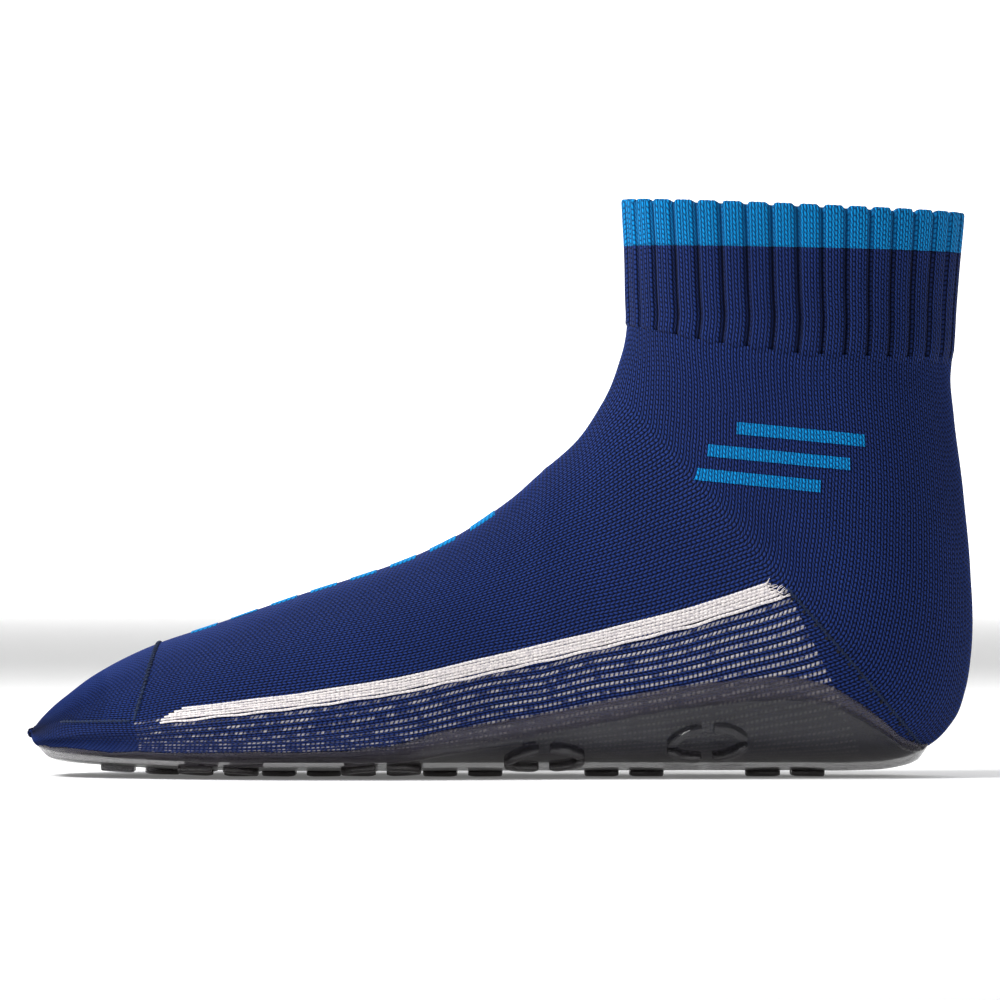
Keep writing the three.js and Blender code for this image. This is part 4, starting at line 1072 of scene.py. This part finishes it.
class SOCK_OT_elastic(bpy.types.Operator):
    """Lays the covered elastic yarns round the inside of the cuff"""
    bl_idname = "sock.elastic"
    bl_label = "Cuff elastic"
    bl_options = {"REGISTER", "UNDO"}

    def execute(self, context):
        s = context.scene.water_sock
        ring = ALL[:-1][::4]
        for i in range(4):
            q = np.full((1, len(ring)), 2.2 + 0.1 * i)
            points, normals, _ = sample(ring, q)
            path = points[0] - normals[0] * 2.6
            run = np.arange(len(ring))
            path = path + np.stack([0 * run, 0 * run, 0.12 * np.sin(run * 0.9)], axis=1)
            n = len(path)
            ahead = np.roll(path, -1, 0) - np.roll(path, 1, 0)
            ahead /= np.linalg.norm(ahead, axis=1, keepdims=True)
            out = normals[0]
            up = np.cross(ahead, out)
            a = np.linspace(0, 2 * math.pi, 8, endpoint=False)
            radius = s.elastic / MM * (0.85 + 0.15 * np.cos(run * 2.1))
            rings = path[:, None] + (out[:, None] * np.cos(a)[None, :, None]
                                     + up[:, None] * np.sin(a)[None, :, None]) * radius[:, None, None]
            faces = []
            for r in range(n):
                for k in range(8):
                    m, w = (k + 1) % 8, (r + 1) % n
                    faces.append((r * 8 + k, w * 8 + k, w * 8 + m, r * 8 + m))
            obj = new_object("cuff_elastic_yarn_%d" % (i + 1), rings.reshape(-1, 3), faces)
            finish(obj, "elastic", ["cuff_elastic_%d" % (i + 1)], "leg")
        return {"FINISHED"}


# ---------------------------------------------------------------- sole

EDGE = place([
    [-123.4, 4.6], [-118, 4.4], [-104, 3.4], [-80, 3.5], [-45, 3.9], [-33, 4.8], [-16, 9], [5, 12.5],
    [22, 15.8], [48, 20.8], [62, 22.5], [72, 23.2], [80, 22.8], [87, 20.9], [92, 18.2], [96, 15.5],
    [101.5, 11.3], [107, 6.6], [113.5, 4.7]])
EDGE_AT = smooth(EDGE)
SOLE_START, SOLE_END = EDGE[0][0], EDGE[-1][0]
STAND_OFF = 0.28        # millimetres from the last to the foot of the sole's skin
FLAT = 0.88             # the sole keeps its full thickness to this share of the way out to its edge
MARGIN = (0.89, 0.898, 0.906, 0.914, 0.922, 0.93, 0.938, 0.95, 0.975, 1)


def sole_slice(x, share, ragged=None):
    """Points and normals of the last below the sole's edge. x and share have one shape."""
    q, _ = station_of(x, np.full_like(x, FOOTBED + 1))
    middle = MIDLINE(q)
    front = x < PIVOT[0]
    roof = np.where(front, PIVOT[1] - INSTEP_AT(q), PIVOT[1])
    widest = UNDER_AT(q) - WIDEST(q) * (UNDER_AT(q) - INSTEP_AT(q))
    start = np.where(front, PIVOT[1] - widest, FOOTBED + 14)
    down = np.zeros(x.shape + (3,))
    down[..., 2] = -1
    low = surface_from(np.stack([x, middle, start], -1), down)[..., 2]
    heart = np.stack([x, middle, np.minimum(FOOTBED + 14, (low + roof) / 2)], -1)
    top = np.maximum(EDGE_AT(x), low + 1.2) + (0 if ragged is None else ragged)
    edge = on_side(x, top, 1)
    angle = share * np.arctan2(edge[..., 1] - middle, heart[..., 2] - edge[..., 2])
    ray = np.stack([np.zeros_like(x), np.sin(angle), -np.cos(angle)], -1)
    points = surface_from(heart, ray)
    return points, outward(points)


class SOCK_OT_sole(bpy.types.Operator):
    """Moulds the smoky sole with its thin lip and the raised oval rings of the tread"""
    bl_idname = "sock.sole"
    bl_label = "Sole and tread"
    bl_options = {"REGISTER", "UNDO"}

    rows = 260
    middle_columns = 64

    def execute(self, context):
        s = context.scene.water_sock
        rng = np.random.default_rng(3)
        share = np.concatenate([
            -np.array(MARGIN[::-1]), np.linspace(-FLAT, FLAT, self.middle_columns), MARGIN])
        t = np.linspace(0, 1, self.rows)
        t = 0.55 * t + 0.45 * (0.5 - 0.5 * np.cos(math.pi * t))
        x = SOLE_START + (SOLE_END - SOLE_START) * t
        noise = np.convolve(rng.standard_normal(self.rows + 12), np.ones(5) / 5, "same")[6:-6] * 0.35
        xs = np.broadcast_to(x[:, None], (self.rows, len(share)))
        shares = np.broadcast_to(share[None, :], xs.shape)
        points, normals = sole_slice(xs, shares, noise[:, None] * np.ones_like(xs))
        lip, full = s.lip / MM, s.sole / MM
        away = np.abs(share)
        # A rounded shoulder a little thicker than the sole, then a step down to the thin lip.
        depth = np.interp(away, [0, FLAT, *MARGIN],
                          [full, full, full * 1.02, full * 1.09, full * 1.14, full * 1.12, full * 0.98,
                           full * 0.62, lip * 1.1, lip, lip * 0.8, 0.12])
        to_end = np.minimum(x - SOLE_START, SOLE_END - x)
        ends = np.interp(to_end, [0, 1.5, 3.0, 5.0], [0.12 / full, 0.45, 0.85, 1.0])
        skin = points + normals * (STAND_OFF + (depth[None, :] * ends[:, None]))[..., None]
        inner = points + normals * 0.2
        rows, columns = xs.shape
        vertices = np.concatenate([skin.reshape(-1, 3), inner.reshape(-1, 3)])
        inside = rows * columns
        faces = grid_faces(rows, columns, flip=True) + grid_faces(rows, columns, inside)
        for i in range(rows - 1):
            for j in (0, columns - 1):
                a, b = i * columns + j, (i + 1) * columns + j
                quad = (a, b, inside + b, inside + a)
                faces.append(quad if j == columns - 1 else quad[::-1])
        for j in range(columns - 1):
            for i in (0, rows - 1):
                a, b = i * columns + j, i * columns + j + 1
                quad = (a, b, inside + b, inside + a)
                faces.append(quad if i == 0 else quad[::-1])
        parts = [(vertices, faces)]
        uv = np.stack([shares, xs / 10], axis=2).reshape(-1, 2)
        uv = np.concatenate([uv, uv])
        fine = np.linspace(-1, 1, 121)
        for cx, outer_row in self.rings():
            parts += self.ring(cx, outer_row, fine, s)
        vertices, faces = gather(parts)
        vertices[:, 2] = np.maximum(vertices[:, 2], 0)
        uv = np.concatenate([uv, vertices[len(uv):, :2] / 100])
        obj = new_object("moulded_sole", vertices, faces, uv)
        finish(obj, "rubber", ["sole_toe", "sole_ball", "sole_heel"], follow_toes)
        return {"FINISHED"}

    def rings(self):
        """Places of the tread rings: along the foot, and which row (-1 outer, 0 middle, 1 inner)."""
        length = 2 * DRAWN_TOE * ALONG
        pitch, first = length * 0.171, SOLE_START + length * 0.192
        yield first - pitch / 2, 0
        for i in range(4):
            at = first + i * pitch
            yield at, 1
            yield at, -1
            yield at + pitch / 2, 0

    def ring(self, cx, row, fine, s):
        half_length, half_width = 11.0, 7.0     # millimetres
        band, depth = s.lug_band / MM, s.lug / MM
        xs = cx + np.linspace(-half_length - 0.5, half_length + 0.5, 47)
        gx = np.broadcast_to(xs[:, None], (len(xs), len(fine)))
        points, normals = sole_slice(gx, np.broadcast_to(fine[None, :], gx.shape))
        skin = points + normals * (STAND_OFF + s.sole / MM)
        run = np.concatenate([np.zeros((len(xs), 1)),
                              np.cumsum(np.linalg.norm(np.diff(skin, axis=1), axis=2), axis=1)], axis=1)
        centre = run[:, 60:61]
        run = run - centre
        mid = len(xs) // 2
        reach = run[mid, -1] if row > 0 else -run[mid, 0]
        across = 0.62 * reach * row

        def at(px, py, height):
            f = np.clip((px - xs[0]) / (xs[1] - xs[0]), 0, len(xs) - 1.001)
            i = int(f)
            g = f - i
            out = []
            for r in (i, i + 1):
                p = np.array([np.interp(py, run[r], skin[r, :, k]) for k in range(3)])
                n = np.array([np.interp(py, run[r], normals[r, :, k]) for k in range(3)])
                out.append((p, n))
            p = out[0][0] * (1 - g) + out[1][0] * g
            n = out[0][1] * (1 - g) + out[1][1] * g
            return p + n / np.linalg.norm(n) * height

        parts = []
        gap = 0.32              # radians left open between the four arcs of a ring
        profile = [(0, -0.5), (0.0, depth * 0.55), (0.12, depth * 0.85), (0.32, depth), (band - 0.32, depth),
                   (band - 0.12, depth * 0.85), (band, depth * 0.55), (band, -0.5)]
        for quarter in range(4):
            angles = quarter * math.pi / 2 + np.linspace(gap / 2, math.pi / 2 - gap / 2, 15)
            vertices, faces = [], []
            for n_angle, a in enumerate(angles):
                end = min(n_angle, len(angles) - 1 - n_angle)
                taper = (0.8, 0.95)[end] if end < 2 else 1.0
                for inset, height in profile:
                    inset = band / 2 + (inset - band / 2) * taper
                    height = height * taper if height > 0 else height
                    vertices.append(at(cx + (half_length - inset) * math.cos(a),
                                       across + (half_width - inset) * math.sin(a), height))
            m = len(profile)
            faces = grid_faces(len(angles), m, closed=True)
            faces.append(tuple(range(m))[::-1])
            faces.append(tuple((len(angles) - 1) * m + k for k in range(m)))
            parts.append((np.array(vertices), faces))
        return parts


# ---------------------------------------------------------------- stage

class SOCK_OT_stage(bpy.types.Operator):
    """Sets a pale floor, soft studio lights and the camera"""
    bl_idname = "sock.stage"
    bl_label = "Stage, light and camera"
    bl_options = {"REGISTER", "UNDO"}

    def execute(self, context):
        scene = bpy.context.scene
        floor = self.sheet("floor", [(-3, -3, 0), (3, -3, 0), (3, 3.4, 0), (-3, 3.4, 0)], 0.12)
        backdrop = self.sheet("backdrop", [(-2, 3.4, -1.2), (2, 3.4, -1.2), (2, 3.4, 1.6), (-2, 3.4, 1.6)],
                              1.0)
        world = bpy.data.worlds.new("Studio")
        world.use_nodes = True
        background = world.node_tree.nodes["Background"]
        background.inputs[0].default_value = (1, 1, 1, 1)
        background.inputs[1].default_value = 0.31
        scene.world = world
        # Name, place in metres, side in metres and power in watts.
        for lamp in (("key", (-0.85, -0.4, 1.1), 0.5, 25.0),
                     ("fill", (0.9, -0.9, 0.6), 0.7, 2.5),
                     ("rim", (0.1, 0.9, 0.9), 0.8, 6.0)):
            self.lamp(*lamp)
        camera = bpy.data.cameras.new("camera")
        camera.lens = 337.5
        camera.sensor_width = 36
        eye = bpy.data.objects.new("camera", camera)
        scene.collection.objects.link(eye)
        eye.location = (-0.0004, -2.5, 0.0736)
        eye.rotation_euler = (math.pi / 2, 0, 0)
        scene.camera = eye
        scene.view_settings.view_transform = "Standard"
        return {"FINISHED"}

    def sheet(self, name, corners, glow):
        """A flat white sheet of the studio. glow is how bright it shines by itself."""
        mesh = bpy.data.meshes.new(name)
        mesh.from_pydata(corners, [], [(0, 1, 2, 3)])
        sheet = bpy.data.objects.new(name, mesh)
        bpy.context.scene.collection.objects.link(sheet)
        paper, tree, shader = new_material("Studio " + name)
        shader.inputs["Base Color"].default_value = (0.9, 0.9, 0.9, 1)
        shader.inputs["Roughness"].default_value = 0.9
        shader.inputs["Emission Color"].default_value = (1, 1, 1, 1)
        shader.inputs["Emission Strength"].default_value = glow
        mesh.materials.append(paper)
        return sheet

    def lamp(self, name, at, size_m, power):
        light = bpy.data.lights.new(name, "AREA")
        light.size = size_m
        light.energy = power
        lamp = bpy.data.objects.new(name, light)
        bpy.context.scene.collection.objects.link(lamp)
        lamp.location = at
        lamp.rotation_euler = (Vector((0, 0, 0.06)) - Vector(at)).to_track_quat("-Z", "Y").to_euler()


OPERATORS = [
    SOCK_OT_toe_pocket, SOCK_OT_instep, SOCK_OT_leg, SOCK_OT_panel, SOCK_OT_heel, SOCK_OT_cuff, SOCK_OT_bars,
    SOCK_OT_stripes, SOCK_OT_seams, SOCK_OT_elastic, SOCK_OT_sole, SOCK_OT_stage,
]


class SOCK_PT_panel(bpy.types.Panel):
    """Lists the steps that build the sock"""
    bl_label = "Water sock"
    bl_idname = "SOCK_PT_panel"
    bl_space_type = "VIEW_3D"
    bl_region_type = "UI"
    bl_category = "Water sock"

    def draw(self, context):
        for operator in OPERATORS:
            self.layout.operator(operator.bl_idname)
        for name in WaterSockSettings.__annotations__:
            self.layout.prop(context.scene.water_sock, name)


CLASSES = [WaterSockSettings, *OPERATORS, SOCK_PT_panel]


def register():
    for cls in CLASSES:
        bpy.utils.register_class(cls)
    bpy.types.Scene.water_sock = bpy.props.PointerProperty(type=WaterSockSettings)


def unregister():
    del bpy.types.Scene.water_sock
    for cls in reversed(CLASSES):
        bpy.utils.unregister_class(cls)


def main():
    register()
    for operator in OPERATORS:
        group, name = operator.bl_idname.split(".")
        getattr(getattr(bpy.ops, group), name)()


if __name__ == "__main__":
    main()
